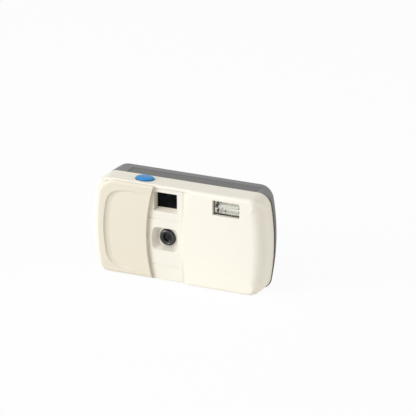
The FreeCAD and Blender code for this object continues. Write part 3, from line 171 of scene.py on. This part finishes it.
def colour(red, green, blue):  # 0 to 255 as seen on screen, made linear by the sRGB curve
    parts = []
    for part in (red, green, blue):
        part = part / 255
        parts.append(part / 12.92 if part <= 0.04045 else ((part + 0.055) / 1.055) ** 2.4)
    return (*parts, 1.0)


def shade(tone, factor):
    return (tone[0] * factor, tone[1] * factor, tone[2] * factor, 1.0)


# what all moulded plastics share; the grain's relief is in metres
mould = {"cloudStops": [(0.3, 0.0), (0.7, 1.0)], "cloudDetail": 3.0, "cloudRoughness": 0.04,
         "grainDetail": 3.0, "grainRoughness": 0.6, "grainShare": 0.7, "poreShare": 0.3,
         "poreScale": 0.55, "fleckFrom": 0.35, "fleckTo": 0.75, "relief": 0.00006, "ior": 1.5}


def mouldedPlastic(name, tone, spec, *zones):
    f = Finish(name)
    cloud = f.ramp(f.noise(spec["cloudScale"], mould["cloudDetail"]), mould["cloudStops"])
    grain = f.noise(spec["grainScale"], mould["grainDetail"], mould["grainRoughness"])
    pore = f.wire("ShaderNodeTexVoronoi", {"feature": "F1"},
                  {"Vector": f.place, "Scale": spec["grainScale"] * mould["poreScale"]})
    height = grain * mould["grainShare"] + pore * mould["poreShare"]
    flecks = f.ramp(grain, [(mould["fleckFrom"], 0.0), (mould["fleckTo"], spec["fleck"])])
    base = f.blendColour(cloud, shade(tone, 1.0 - spec["cloudDepth"]), tone)
    base = f.blendColour(flecks, base, shade(tone, spec["fleckShade"]))
    f.set(Base_Color=f.paintLightAndShade(base, zones))
    f.set(Roughness=spec["roughness"] + (grain - 0.5) * spec["roughnessSpread"]
          + (cloud - 0.5) * mould["cloudRoughness"])
    f.set(Normal=f.bump(height, spec["bump"], mould["relief"], spec["softness"]))
    f.set(Specular_IOR_Level=spec["gloss"], IOR=mould["ior"])
    return f.material


specs = {
    "cream": {"cloudScale": 28.0, "cloudDepth": 0.012, "grainScale": 5200.0, "fleck": 0.10,
              "fleckShade": 0.985, "roughness": 0.42, "roughnessSpread": 0.10, "bump": 0.10,
              "softness": 0.00012, "gloss": 0.42},
    "dark": {"cloudScale": 34.0, "cloudDepth": 0.05, "grainScale": 3000.0, "fleck": 0.55,
             "fleckShade": 1.22, "roughness": 0.56, "roughnessSpread": 0.16, "bump": 0.34,
             "softness": 0.0004, "gloss": 0.45},
    "frame": {"cloudScale": 40.0, "cloudDepth": 0.06, "grainScale": 2600.0, "fleck": 0.35,
              "fleckShade": 1.25, "roughness": 0.60, "roughnessSpread": 0.12, "bump": 0.22,
              "softness": 0.0002, "gloss": 0.40},
    "gloss": {"cloudScale": 60.0, "cloudDepth": 0.03, "grainScale": 1800.0, "fleck": 0.05,
              "fleckShade": 1.08, "roughness": 0.26, "roughnessSpread": 0.05, "bump": 0.03,
              "softness": 0.0002, "gloss": 0.34},
    "ring": {"cloudScale": 60.0, "cloudDepth": 0.03, "grainScale": 1800.0, "fleck": 0.05,
             "fleckShade": 1.08, "roughness": 0.13, "roughnessSpread": 0.04, "bump": 0.02,
             "softness": 0.0002, "gloss": 0.62},
    "white": {"cloudScale": 70.0, "cloudDepth": 0.02, "grainScale": 3000.0, "fleck": 0.10,
              "fleckShade": 0.96, "roughness": 0.50, "roughnessSpread": 0.10, "bump": 0.08,
              "softness": 0.0002, "gloss": 0.40},
}


brush = {"stretch": 0.06, "lineScale": 5200.0, "lineDetail": 3.0, "lineShade": 0.86,
         "lineRoughness": 0.18, "cloudScale": 220.0, "cloudRoughness": 0.08, "bump": 0.12,
         "relief": 0.00003, "softness": 0.0001}


def brushedMetal(name, tone, roughness, along):
    f = Finish(name)
    stretch = [brush["stretch"] if axis == along else 1.0 for axis in "XYZ"]
    turned = f.wire("ShaderNodeMapping", {}, {"Vector": f.place, "Scale": stretch})
    lines = f.wire("ShaderNodeTexNoise", {}, {"Vector": turned, "Scale": brush["lineScale"],
                                              "Detail": brush["lineDetail"]})
    cloud = f.noise(brush["cloudScale"])
    f.set(Base_Color=f.blendColour(lines, shade(tone, brush["lineShade"]), tone), Metallic=1.0)
    f.set(Roughness=roughness + (lines - 0.5) * brush["lineRoughness"]
          + (cloud - 0.5) * brush["cloudRoughness"])
    f.set(Normal=f.bump(lines, brush["bump"], brush["relief"], brush["softness"]))
    return f.material


smears = {"scale": 240.0, "detail": 3.0, "shade": 0.97, "roughness": 0.02}


def clearPlastic(name, tone, roughness, ior, zones=()):
    f = Finish(name)
    smear = f.noise(smears["scale"], smears["detail"])
    base = f.blendColour(smear, shade(tone, smears["shade"]), tone)
    f.set(Base_Color=f.paintLightAndShade(base, zones), Transmission_Weight=1.0, IOR=ior)
    f.set(Roughness=roughness + (smear - 0.5) * smears["roughness"])
    return f.material


pileSpec = {"scale": 2600.0, "detail": 4.0, "noiseRoughness": 0.7, "low": 0.6, "high": 1.5,
            "roughness": 0.95, "bump": 0.8, "relief": 0.0002, "gloss": 0.1}


def foamPile(name, tone):
    f = Finish(name)
    pile = f.noise(pileSpec["scale"], pileSpec["detail"], pileSpec["noiseRoughness"])
    base = f.blendColour(pile, shade(tone, pileSpec["low"]), shade(tone, pileSpec["high"]))
    f.set(Base_Color=base, Roughness=pileSpec["roughness"])
    f.set(Normal=f.bump(pile, pileSpec["bump"], pileSpec["relief"]))
    f.set(Specular_IOR_Level=pileSpec["gloss"])
    return f.material


board = {"weaveScale": 420.0, "distortion": 1.2, "patchScale": 260.0, "patchDetail": 1.0,
         "patchStops": [(0.46, 0.0), (0.50, 1.0)], "weaveShare": 0.25, "roughness": 0.45,
         "weaveRoughness": 0.1, "bump": 0.15, "relief": 0.00004,
         "track": colour(150, 118, 62), "lacquer": colour(38, 92, 58), "weave": colour(90, 84, 50)}


def boardResin(name):
    f = Finish(name)
    weave = f.wire("ShaderNodeTexWave", {"wave_type": "BANDS", "bands_direction": "Z"},
                   {"Vector": f.place, "Scale": board["weaveScale"],
                    "Distortion": board["distortion"]})
    patch = f.ramp(f.noise(board["patchScale"], board["patchDetail"]), board["patchStops"])
    base = f.blendColour(patch, board["track"], board["lacquer"])
    f.set(Base_Color=f.blendColour(weave * board["weaveShare"], base, board["weave"]))
    f.set(Roughness=board["roughness"] + weave * board["weaveRoughness"])
    f.set(Normal=f.bump(weave, board["bump"], board["relief"]))
    return f.material


tones = {
    "cream": colour(249, 243, 228),
    "cover": colour(230, 221, 201),
    "darkGrey": colour(126, 126, 126),
    "frameGrey": colour(113, 112, 110),
    "innerBlack": colour(26, 26, 28),
    "ringBlack": colour(56, 56, 59),
    "lensRing": colour(40, 40, 42),
    "blue": colour(28, 138, 204),
    "white": colour(228, 227, 220),
    "steel": colour(196, 194, 188),
    "brass": colour(198, 178, 130),
    "mirror": colour(226, 226, 220),
    "flashMirror": colour(253, 251, 247),
    "blackOxide": colour(50, 50, 53),
    "clear": colour(250, 252, 250),
    "finder": colour(214, 218, 224),
    "lens": colour(196, 200, 210),
    "flashPane": colour(255, 254, 254),
    "lamp": colour(214, 92, 40),
    "sleeve": colour(40, 44, 72),
    "foam": colour(30, 30, 31),
}


def zone(tone, **limits):
    return limits, colour(*tone)


# each zone is painted shade, a darker tone, and its limits along the axes: (low, high, softness) in
# mm
# painted shade: the recessed panel is darker than the block and cover beside it
panelShade = zone((242, 236, 222), X=(-56.0, 3.0, 1.0), Y=(-15.4, -14.2, 0.8), Z=(1.5, 61.6, 0.5))
# painted shadow: a darker band on the panel along the block's left edge
stepShadow = zone((232, 225, 210), X=(2.5, 3.4, 0.9), Y=(-15.4, -14.2, 0.8), Z=(1.5, 61.6, 0.5))
# painted shade: the walls and floor of the finder and lens recess are darker
recessShade = zone((238, 230, 213), X=(-20.0, 1.0, 0.3), Y=(-14.0, -8.0, 0.5), Z=(18.0, 60.5, 0.3))
# painted shade: the lens well right of and below the lens is darker still
lensWellShade = zone((218, 211, 197), X=(-10.0, 1.0, 4.0), Y=(-14.0, -8.0, 0.5), Z=(18.0, 36.0, 1.0))
# painted shade: the walls of the flash recess are darker
flashWellShade = zone((224, 215, 196), X=(23.0, 43.5, 0.1), Y=(-16.5, -14.0, 0.4), Z=(49.5, 61.2, 0.1))
# painted shade: the shutter button is darker towards its lower edge, as shade at its gap
buttonEdgeShade = zone((26, 96, 150), X=(-40.0, -12.0, 1.0), Y=(-20.0, 4.0, 1.0), Z=(50.0, 64.35, 0.5))
# painted shadow: a dark line along the seam between the top strip and the rear shell
seamShadow = zone((58, 58, 58), X=(-42.2, 47.6, 0.1), Y=(6.8, 7.4, 0.15), Z=(61.0, 66.0, 0.5))
# painted shadow: the same dark seam line across the strip's left end
seamEndShadow = zone((62, 62, 62), X=(-42.3, -41.4, 0.15), Y=(-1.6, 7.4, 0.1), Z=(61.0, 66.0, 0.5))
# painted shade: the right end of the dark shell is darker towards the end
endShade = zone((88, 88, 87), X=(58.0, 64.0, 6.0), Y=(-2.0, 13.0, 4.0), Z=(-2.0, 60.0, 6.0))

# painted on the flash window: bright bands are a painted reflection of the tube and reflector, dark
# spots are the tube's end caps painted as if seen through the pane
paintedPaneLight = {"highlightTone": (232, 232, 228), "bandX": (26.0, 42.0, 0.5),
             "bands": [(57.6, 58.6, 0.4), (55.8, 56.0, 0.25), (52.9, 54.1, 0.4)],
             "spotTone": (110, 112, 112), "spotHalfX": 0.35, "spotHalfZ": 0.5, "spotSoft": 0.3,
             "spots": [(27.4, 57.3), (27.4, 53.5), (41.7, 56.7), (41.7, 54.0)]}


def paintedPaneZones():
    halfX, halfZ, soft = paintedPaneLight["spotHalfX"], paintedPaneLight["spotHalfZ"], paintedPaneLight["spotSoft"]
    bands = [zone(paintedPaneLight["highlightTone"], X=paintedPaneLight["bandX"], Z=band)
             for band in paintedPaneLight["bands"]]
    spots = [zone(paintedPaneLight["spotTone"], X=(x - halfX, x + halfX, soft),
                  Z=(z - halfZ, z + halfZ, soft)) for x, z in paintedPaneLight["spots"]]
    return bands + spots


# the cream, dark and blue shells and the flash pane carry the painted shade and highlight zones
# above
finishes = {
    "cream_shell": mouldedPlastic("creamShell", tones["cream"], specs["cream"], panelShade,
                                  stepShadow, recessShade, lensWellShade, flashWellShade),
    "cover_shell": mouldedPlastic("coverShell", tones["cover"], specs["cream"]),
    "dark_shell": mouldedPlastic("darkShell", tones["darkGrey"], specs["dark"], seamShadow,
                                 seamEndShadow, endShade),
    "frame_plastic": mouldedPlastic("framePlastic", tones["frameGrey"], specs["frame"]),
    "blue_plastic": mouldedPlastic("bluePlastic", tones["blue"], specs["gloss"], buttonEdgeShade),
    "ring_plastic": mouldedPlastic("ringPlastic", tones["ringBlack"], specs["gloss"]),
    "lensRing": mouldedPlastic("lensRing", tones["lensRing"], specs["ring"]),
    "inner_plastic": mouldedPlastic("innerPlastic", tones["innerBlack"], specs["frame"]),
    "white_plastic": mouldedPlastic("whitePlastic", tones["white"], specs["white"]),
    "clear_plastic": clearPlastic("clearPlastic", tones["clear"], roughness=0.03, ior=1.49),
    "finderGlass": clearPlastic("finderGlass", tones["finder"], roughness=0.02, ior=1.12),
    "lens_glass": clearPlastic("lensGlass", tones["lens"], roughness=0.01, ior=1.3),
    # the flash pane carries the painted highlight bands and painted end-cap spots
    "flashPane": clearPlastic("flashPane", tones["flashPane"], roughness=0.03, ior=1.15,
                              zones=paintedPaneZones()),
    "lamp_plastic": mouldedPlastic("lampPlastic", tones["lamp"], specs["gloss"]),
    "mirror_metal": brushedMetal("mirrorMetal", tones["mirror"], roughness=0.12, along="X"),
    "flashMirror": brushedMetal("flashMirror", tones["flashMirror"], roughness=0.09, along="X"),
    "spring_steel": brushedMetal("springSteel", tones["steel"], roughness=0.30, along="Z"),
    "screw_steel": mouldedPlastic("screwSteel", tones["blackOxide"], specs["gloss"]),
    "contact_brass": brushedMetal("contactBrass", tones["brass"], roughness=0.28, along="X"),
    "board_resin": boardResin("boardResin"),
    "capacitor_sleeve": mouldedPlastic("capacitorSleeve", tones["sleeve"], specs["gloss"]),
    "foam": foamPile("foam", tones["foam"]),
}

# nodes whose finish isn't the one their slot names
otherFinish = {"viewfinder_window": "finderGlass", "door_hinge_pin": "screw_steel",
               "battery_door_pin": "screw_steel", "shutter_blade": "screw_steel",
               "flash_tube_end_caps": "ring_plastic"}

for node, slotName in slotOf.items():
    for slot in nodes[node].material_slots:
        slot.material = finishes[slotName]
for node, finishName in otherFinish.items():
    nodes[node].material_slots[0].material = finishes[finishName]
print("finishes assigned")


def deselect():
    for thing in bpy.context.selected_objects:
        thing.select_set(False)


def startEdit():  # edit mode with all of the mesh selected
    bpy.ops.object.mode_set(mode="EDIT")
    bpy.ops.mesh.select_all(action="SELECT")


def endEdit():
    bpy.ops.object.mode_set(mode="OBJECT")


def mergeSelected():
    bpy.ops.mesh.remove_doubles(threshold=mergeGap)


def settle(name):  # the new primitive, named, its place moved into its mesh
    piece = bpy.context.object
    piece.name = name
    piece.data.name = name
    bpy.ops.object.transform_apply(location=True, rotation=True, scale=True)
    return piece


def addBox(name, low, high):  # from corner to corner, in mm
    deselect()
    bpy.ops.mesh.primitive_cube_add(size=1, location=[(a + b) / 2 * mm for a, b in zip(low, high)],
                                    scale=[(b - a) * mm for a, b in zip(low, high)])
    return settle(name)


def pick(piece, kind, chosen):  # selects by a test on each vertex or edge, in edit mode
    bpy.ops.mesh.select_mode(type=kind)
    bpy.ops.mesh.select_all(action="DESELECT")
    form = bmesh.from_edit_mesh(piece.data)
    for item in {"VERT": form.verts, "EDGE": form.edges}[kind]:
        item.select_set(chosen(item))
    form.select_flush_mode()
    bmesh.update_edit_mesh(piece.data)


def middleOf(edge):  # in mm
    return (edge.verts[0].co + edge.verts[1].co) / 2 / mm


def same(first, second):
    return abs(first - second) < samePlace


# an outline pulled along an axis from station to station; a station is its half width, its half
# height and its place along the axis, in mm
def pulled(name, centre, axis, stations, sides, ring=False):
    alongY = axis == "Y"

    def spot(along):
        if alongY:
            return (centre[0] * mm, along * mm, centre[1] * mm)
        return (centre[0] * mm, centre[1] * mm, along * mm)

    def resize(across, up, along):
        bpy.ops.transform.resize(value=(across, 1, up) if alongY else (across, up, 1),
                                 center_override=spot(along))

    deselect()
    bpy.ops.mesh.primitive_circle_add(vertices=sides, radius=mm,
                                      rotation=(pi / 2, 0, 0) if alongY else (0, 0, 0))
    piece = settle(name)
    startEdit()
    if not ring:
        bpy.ops.mesh.edge_face_add()
    bpy.ops.transform.translate(value=spot(stations[0][2]))
    resize(*stations[0])
    for last, here in zip(stations, stations[1:]):
        step = {"value": [b - a for a, b in zip(spot(last[2]), spot(here[2]))]}
        if ring:
            bpy.ops.mesh.extrude_edges_move(TRANSFORM_OT_translate=step)
        else:
            bpy.ops.mesh.extrude_region_move(TRANSFORM_OT_translate=step)
        resize(here[0] / last[0], here[1] / last[1], here[2])
    endEdit()
    return piece


def finishPiece(piece, node, finishName, smoothAngle):  # the piece takes the place of the node
    deselect()
    bpy.context.view_layer.objects.active = piece
    piece.select_set(True)
    startEdit()
    mergeSelected()
    bpy.ops.mesh.normals_make_consistent(inside=False)
    endEdit()
    bpy.ops.object.shade_smooth_by_angle(angle=radians(smoothAngle))
    piece.data.materials.clear()
    piece.data.materials.append(finishes[finishName])
    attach(piece, bodyOf[node])
    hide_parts(node)


# the crown goes in from the rim across and along, and down from the top
button = {"centre": (-26.2, -8.5), "halfX": 6.2, "halfY": 4.5, "top": 65.6, "flangeLow": 61.1,
          "flangeWider": 1.2, "flangeNarrower": 0.5, "capLow": 62.1, "stemLow": 53.4,
          "stemRadius": 1.2, "sides": 96, "smooth": 40,
          "crown": [(0, 0, 1.15), (0.06, 0.06, 0.85), (0.22, 0.22, 0.58), (0.5, 0.5, 0.36),
                    (1.0, 0.95, 0.2), (1.9, 1.6, 0.09), (3.4, 2.6, 0.025), (5.2, 3.8, 0)]}


def makeButton():
    x, y, top = button["halfX"], button["halfY"], button["top"]
    stem = (button["stemRadius"], button["stemRadius"])
    flange = (x + button["flangeWider"], y - button["flangeNarrower"])
    stations = [(*stem, button["stemLow"]), (*stem, button["flangeLow"]),
                (*flange, button["flangeLow"]), (*flange, button["capLow"]),
                (x, y, button["capLow"])]
    stations += [(x - a, y - b, top - c) for a, b, c in button["crown"]]
    cap = pulled("shutterButtonCap", button["centre"], "Z", stations, button["sides"])
    finishPiece(cap, "shutter_button", "blue_plastic", button["smooth"])


# the face goes in from the outside and back from the front, step by step
lensRing = {"centre": (-9.3, 28.3), "outer": 5.25, "front": -12.7, "rear": -9.8, "chamfer": 0.2,
            "throat": 2.75, "seat": 3.1, "sides": 96, "smooth": 38,
            "face": [(0, 1.25), (0.04, 0.9), (0.18, 0.55), (0.42, 0.27), (0.75, 0.08), (1.1, 0),
                     (1.42, 0.07), (1.7, 0.26), (1.92, 0.55), (2.02, 0.8), (2.22, 0.82),
                     (2.3, 1.05)],
            "throatFront": 1.06, "throatFlare": 0.02, "throatRear": 1.3, "seatFront": 1.36}


def makeLensRing():
    outer, front, rear = lensRing["outer"], lensRing["front"], lensRing["rear"]
    throat, seat, chamfer = lensRing["throat"], lensRing["seat"], lensRing["chamfer"]
    profile = [(seat, rear), (outer - chamfer, rear), (outer, rear - chamfer)]
    profile += [(outer - inward, front + back) for inward, back in lensRing["face"]]
    profile += [(throat + lensRing["throatFlare"], front + lensRing["throatFront"]),
                (throat, front + lensRing["throatRear"]), (seat, front + lensRing["seatFront"]),
                (seat, rear)]
    ring = pulled("lensRingMoulding", lensRing["centre"], "Y", [(r, r, y) for r, y in profile],
                  lensRing["sides"], ring=True)
    finishPiece(ring, "lens_ring", "lensRing", lensRing["smooth"])


# the last step stays short of the pole, so that a small flat closes the dome
lensDome = {"radius": 3.0, "rear": -9.85, "rim": -10.3, "top": -10.95, "steps": 8,
            "stepsToPole": 8.6, "sides": 64, "smooth": 40}


def makeLens():
    rim, top, radius = lensDome["rim"], lensDome["top"], lensDome["radius"]
    stations = [(radius, radius, lensDome["rear"]), (radius, radius, rim)]
    for k in range(1, lensDome["steps"] + 1):
        angle = pi / 2 * k / lensDome["stepsToPole"]
        stations.append((radius * cos(angle), radius * cos(angle), rim + (top - rim) * sin(angle)))
    dome = pulled("frontLens", lensRing["centre"], "Y", stations, lensDome["sides"])
    finishPiece(dome, "lens_element", "lens_glass", lensDome["smooth"])


flashPane = {"centre": (33.4, 55.4), "halfX": 9.1, "halfZ": 4.8, "front": -15.25, "deep": 0.9,
             "ribs": 9, "ribDeep": 0.2, "edge": 0.15, "edgeSegments": 2, "smooth": 20}


def makeFlashPane():
    x, z = flashPane["centre"]
    halfX, halfZ, ribs = flashPane["halfX"], flashPane["halfZ"], flashPane["ribs"]
    front, back = flashPane["front"], flashPane["front"] + flashPane["deep"]
    pane = addBox("flashCoverPane", (x - halfX, front, z - halfZ), (x + halfX, back, z + halfZ))
    startEdit()
    for k in range(1, ribs):
        bpy.ops.mesh.select_all(action="SELECT")
        bpy.ops.mesh.bisect(plane_co=(0, 0, (z - halfZ + halfZ * 2 * k / ribs) * mm),
                            plane_no=(0, 0, 1))

    def isRib(edge):  # every second line across the back
        line = round((middleOf(edge).z - z + halfZ) * ribs / (halfZ * 2))
        level = same(edge.verts[0].co.z / mm, edge.verts[1].co.z / mm)
        return level and same(middleOf(edge).y, back) and line in range(2, ribs, 2)

    def isFrontEdge(edge):
        middle = middleOf(edge)
        onSide = same(abs(middle.x - x), halfX) or same(abs(middle.z - z), halfZ)
        return onSide and same(middle.y, front)

    pick(pane, "EDGE", isRib)
    bpy.ops.transform.translate(value=(0, -flashPane["ribDeep"] * mm, 0))
    pick(pane, "EDGE", isFrontEdge)
    bpy.ops.mesh.bevel(offset=flashPane["edge"] * mm, segments=flashPane["edgeSegments"])
    endEdit()
    finishPiece(pane, "flash_lens", "flashPane", flashPane["smooth"])


flashMirror = {"centre": (33.4, 55.4), "halfX": 8.7, "halfZ": 4.1, "front": -14.25, "deep": 3.6,
               "wall": 0.4, "sides": 64, "smooth": 40}


def makeFlashMirror():  # a half oval trough with closed ends, thickened to both sides
    x, z = flashMirror["centre"]
    halfX = flashMirror["halfX"]
    deselect()
    bpy.ops.mesh.primitive_circle_add(vertices=flashMirror["sides"], radius=mm,
                                      rotation=(0, pi / 2, 0))
    trough = settle("flashMirrorTrough")
    startEdit()
    bpy.ops.transform.resize(value=(1, flashMirror["deep"], flashMirror["halfZ"]),
                             center_override=(0, 0, 0))
    pick(trough, "VERT", lambda corner: corner.co.y / mm < -samePlace)
    bpy.ops.mesh.delete(type="VERT")
    bpy.ops.mesh.select_all(action="SELECT")
    bpy.ops.transform.translate(value=((x - halfX) * mm, flashMirror["front"] * mm, z * mm))
    bpy.ops.mesh.extrude_edges_move(TRANSFORM_OT_translate={"value": (halfX * 2 * mm, 0, 0)})
    for end in (x - halfX, x + halfX):
        pick(trough, "EDGE", lambda edge: same(middleOf(edge).x, end))
        bpy.ops.mesh.edge_face_add()
    bpy.ops.mesh.select_all(action="SELECT")
    mergeSelected()
    bpy.ops.mesh.normals_make_consistent(inside=False)
    endEdit()
    skin = trough.modifiers.new("thickness", "SOLIDIFY")
    skin.thickness = flashMirror["wall"] * mm
    skin.offset = 0
    bpy.ops.object.modifier_apply(modifier="thickness")
    finishPiece(trough, "flash_reflector", "flashMirror", flashMirror["smooth"])


def copyOf(node, name):  # a CAD node's mesh, merged
    piece = bpy.data.objects.new(name, nodes[node].data.copy())
    bpy.context.scene.collection.objects.link(piece)
    deselect()
    bpy.context.view_layer.objects.active = piece
    piece.select_set(True)
    startEdit()
    mergeSelected()
    endEdit()
    return piece


batteryFlap = {"low": (48.4, 4.6, 1.0), "high": (51.0, 11.55, 3.5), "smooth": 30}


def makeBatteryFlap():  # the door's corner follows the rounded end of the rear shell
    hull = copyOf("rear_shell", "shellHull")
    startEdit()
    bpy.ops.mesh.convex_hull()
    endEdit()
    corner = addBox("batteryFlapCorner", batteryFlap["low"], batteryFlap["high"])
    cut = corner.modifiers.new("outside", "BOOLEAN")
    cut.operation = "INTERSECT"
    cut.solver = "EXACT"
    cut.object = hull
    bpy.ops.object.modifier_apply(modifier="outside")
    bpy.data.objects.remove(hull)
    plate = copyOf("battery_door", "batteryFlapPlate")
    corner.select_set(True)
    bpy.ops.object.join()
    finishPiece(plate, "battery_door", "dark_shell", batteryFlap["smooth"])


# node: (piece, joint that presses it, axis, place of the end that stays, travel)
springs = {
    "shutter_button_spring": ("buttonSpringCoil", "button_press", "z", 55.4, 1.2),
    "rewind_release_spring": ("releaseSpringCoil", "rewind_release_press", "z", 5.5, 1.4),
    "pressure_plate_spring": ("plateSpringLeaf", "pressure_plate_float", "y", 15.4, 0.6),
    "door_latch_spring": ("latchSpringCoil", "latch_slide", "x", 49.2, 1.8),
}
springSmooth = 40


def makeSprings():  # each spring is a merged, smoothed copy of its CAD mesh, put in its node's place
    for node, (name, joint, axisName, stays, travel) in springs.items():
        piece = copyOf(node, name)
        k = "xyz".index(axisName)
        finishPiece(piece, node, slotOf[node], springSmooth)
        axis = [1.0 if k == i else 0.0 for i in range(3)]
        [part * stays * mm for part in axis]
        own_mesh(piece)


makeButton()
makeSprings()
makeBatteryFlap()
makeLensRing()
makeLens()
makeFlashPane()
makeFlashMirror()
print("button, springs, battery flap, lens and flash made")


# sizes in metres; shadowHold is the floor's share of plain white, and the rest shows the shadow
stage = {"floorSize": 6.0, "floorDrop": 0.0001, "floorTone": colour(246, 246, 245),
         "paperScale": 900.0, "paperDetail": 3.0, "paperShade": 0.99, "floorRoughness": 0.9,
         "shadowHold": 0.94, "worldStrength": 0.29}
white = (1, 1, 1, 1)


def seenByRay(f):  # 1 where the floor or the world is seen straight, mirrored or through glass
    rays = ("Is Camera Ray", "Is Glossy Ray", "Is Transmission Ray")
    return sum(f.wire("ShaderNodeLightPath", {}, {}, ray) for ray in rays)


def makeFloor():
    deselect()
    bpy.ops.mesh.primitive_plane_add(size=stage["floorSize"], location=(0, 0, -stage["floorDrop"]))
    floor = bpy.context.object
    floor.name = "studioFloor"
    f = Finish("studioFloor")
    paper = f.noise(stage["paperScale"], stage["paperDetail"])
    tone = stage["floorTone"]
    f.set(Base_Color=f.blendColour(paper, shade(tone, stage["paperShade"]), tone))
    f.set(Roughness=stage["floorRoughness"], Specular_IOR_Level=0.0)
    glow = f.node("ShaderNodeEmission", {}, {"Color": white, "Strength": 1.0})
    f.coverWith(seenByRay(f) * stage["shadowHold"], glow)
    floor.data.materials.append(f.material)


def makeWorld():
    f = Finish("studioWorld", world=True)
    bpy.context.scene.world = f.material
    f.set(Color=white, Strength=stage["worldStrength"])
    backdrop = f.node("ShaderNodeBackground", {}, {"Color": white, "Strength": 1.0})
    f.coverWith(seenByRay(f), backdrop)


def aim(holder, direction):
    holder.rotation_euler = direction.to_track_quat("-Z", "Y").to_euler()


lampTarget = (0, 0, 0.03)
lamps = {
    "frontLight": {"place": (-1.05, -1.0, 0.6), "width": 0.9, "height": 0.8, "power": 19.3,
                   "tint": (0.97, 1.0, 1.05)},
    "topLight": {"place": (0.05, -0.1, 1.3), "width": 1.2, "height": 1.2, "power": 4.0,
                 "tint": (1.0, 1.0, 1.0)},
    "sideLight": {"place": (1.5, 0.12, 0.42), "width": 0.8, "height": 0.6, "power": 6.0,
                  "tint": (1.0, 0.97, 0.92)},
}


def makeLamp(name, place, width, height, power, tint):  # a soft box
    light = bpy.data.lights.new(name, "AREA")
    light.shape = "RECTANGLE"
    light.size = width
    light.size_y = height
    light.energy = power
    light.color = tint
    holder = bpy.data.objects.new(name, light)
    bpy.context.scene.collection.objects.link(holder)
    holder.location = place
    aim(holder, Vector(lampTarget) - Vector(place))


# baseX and baseY are the pixel at which the origin is seen, before offsetX moves it, in mm
viewer = {"azimuth": 24.5, "elevation": 20.7, "imageSide": 416, "pixelsPerMm": 1.586,
          "distance": 2.6, "baseX": 186.4, "baseY": 275.2, "offsetX": 1.5, "depth": 11.9,
          "sensor": 36.0, "clipStart": 0.05, "clipEnd": 60.0}


def makeCamera():
    a = radians(viewer["azimuth"])
    e = radians(viewer["elevation"])
    right = Vector((cos(a), sin(a), 0))
    up = Vector((-sin(a) * sin(e), cos(a) * sin(e), cos(e)))
    back = Vector((sin(a) * cos(e), -cos(a) * cos(e), sin(e)))
    side, scale = viewer["imageSide"], viewer["pixelsPerMm"]
    across = (side / 2 - viewer["baseX"]) / scale
    rise = (viewer["baseY"] - side / 2) / scale
    target = (right * across + up * rise + back * viewer["depth"]
              - Vector((viewer["offsetX"], 0, 0)))
    data = bpy.data.cameras.new("photoCamera")
    data.sensor_width = viewer["sensor"]
    data.lens = viewer["sensor"] * viewer["distance"] / mm * scale / side
    data.clip_start = viewer["clipStart"]
    data.clip_end = viewer["clipEnd"]
    holder = bpy.data.objects.new("photoCamera", data)
    bpy.context.scene.collection.objects.link(holder)
    holder.location = target * mm + back * viewer["distance"]
    aim(holder, -back)
    bpy.context.scene.camera = holder


makeFloor()
makeWorld()
for lampName, values in lamps.items():
    makeLamp(lampName, **values)
makeCamera()
bpy.context.scene.view_settings.view_transform = "Standard"
print("stage, lights and camera set")
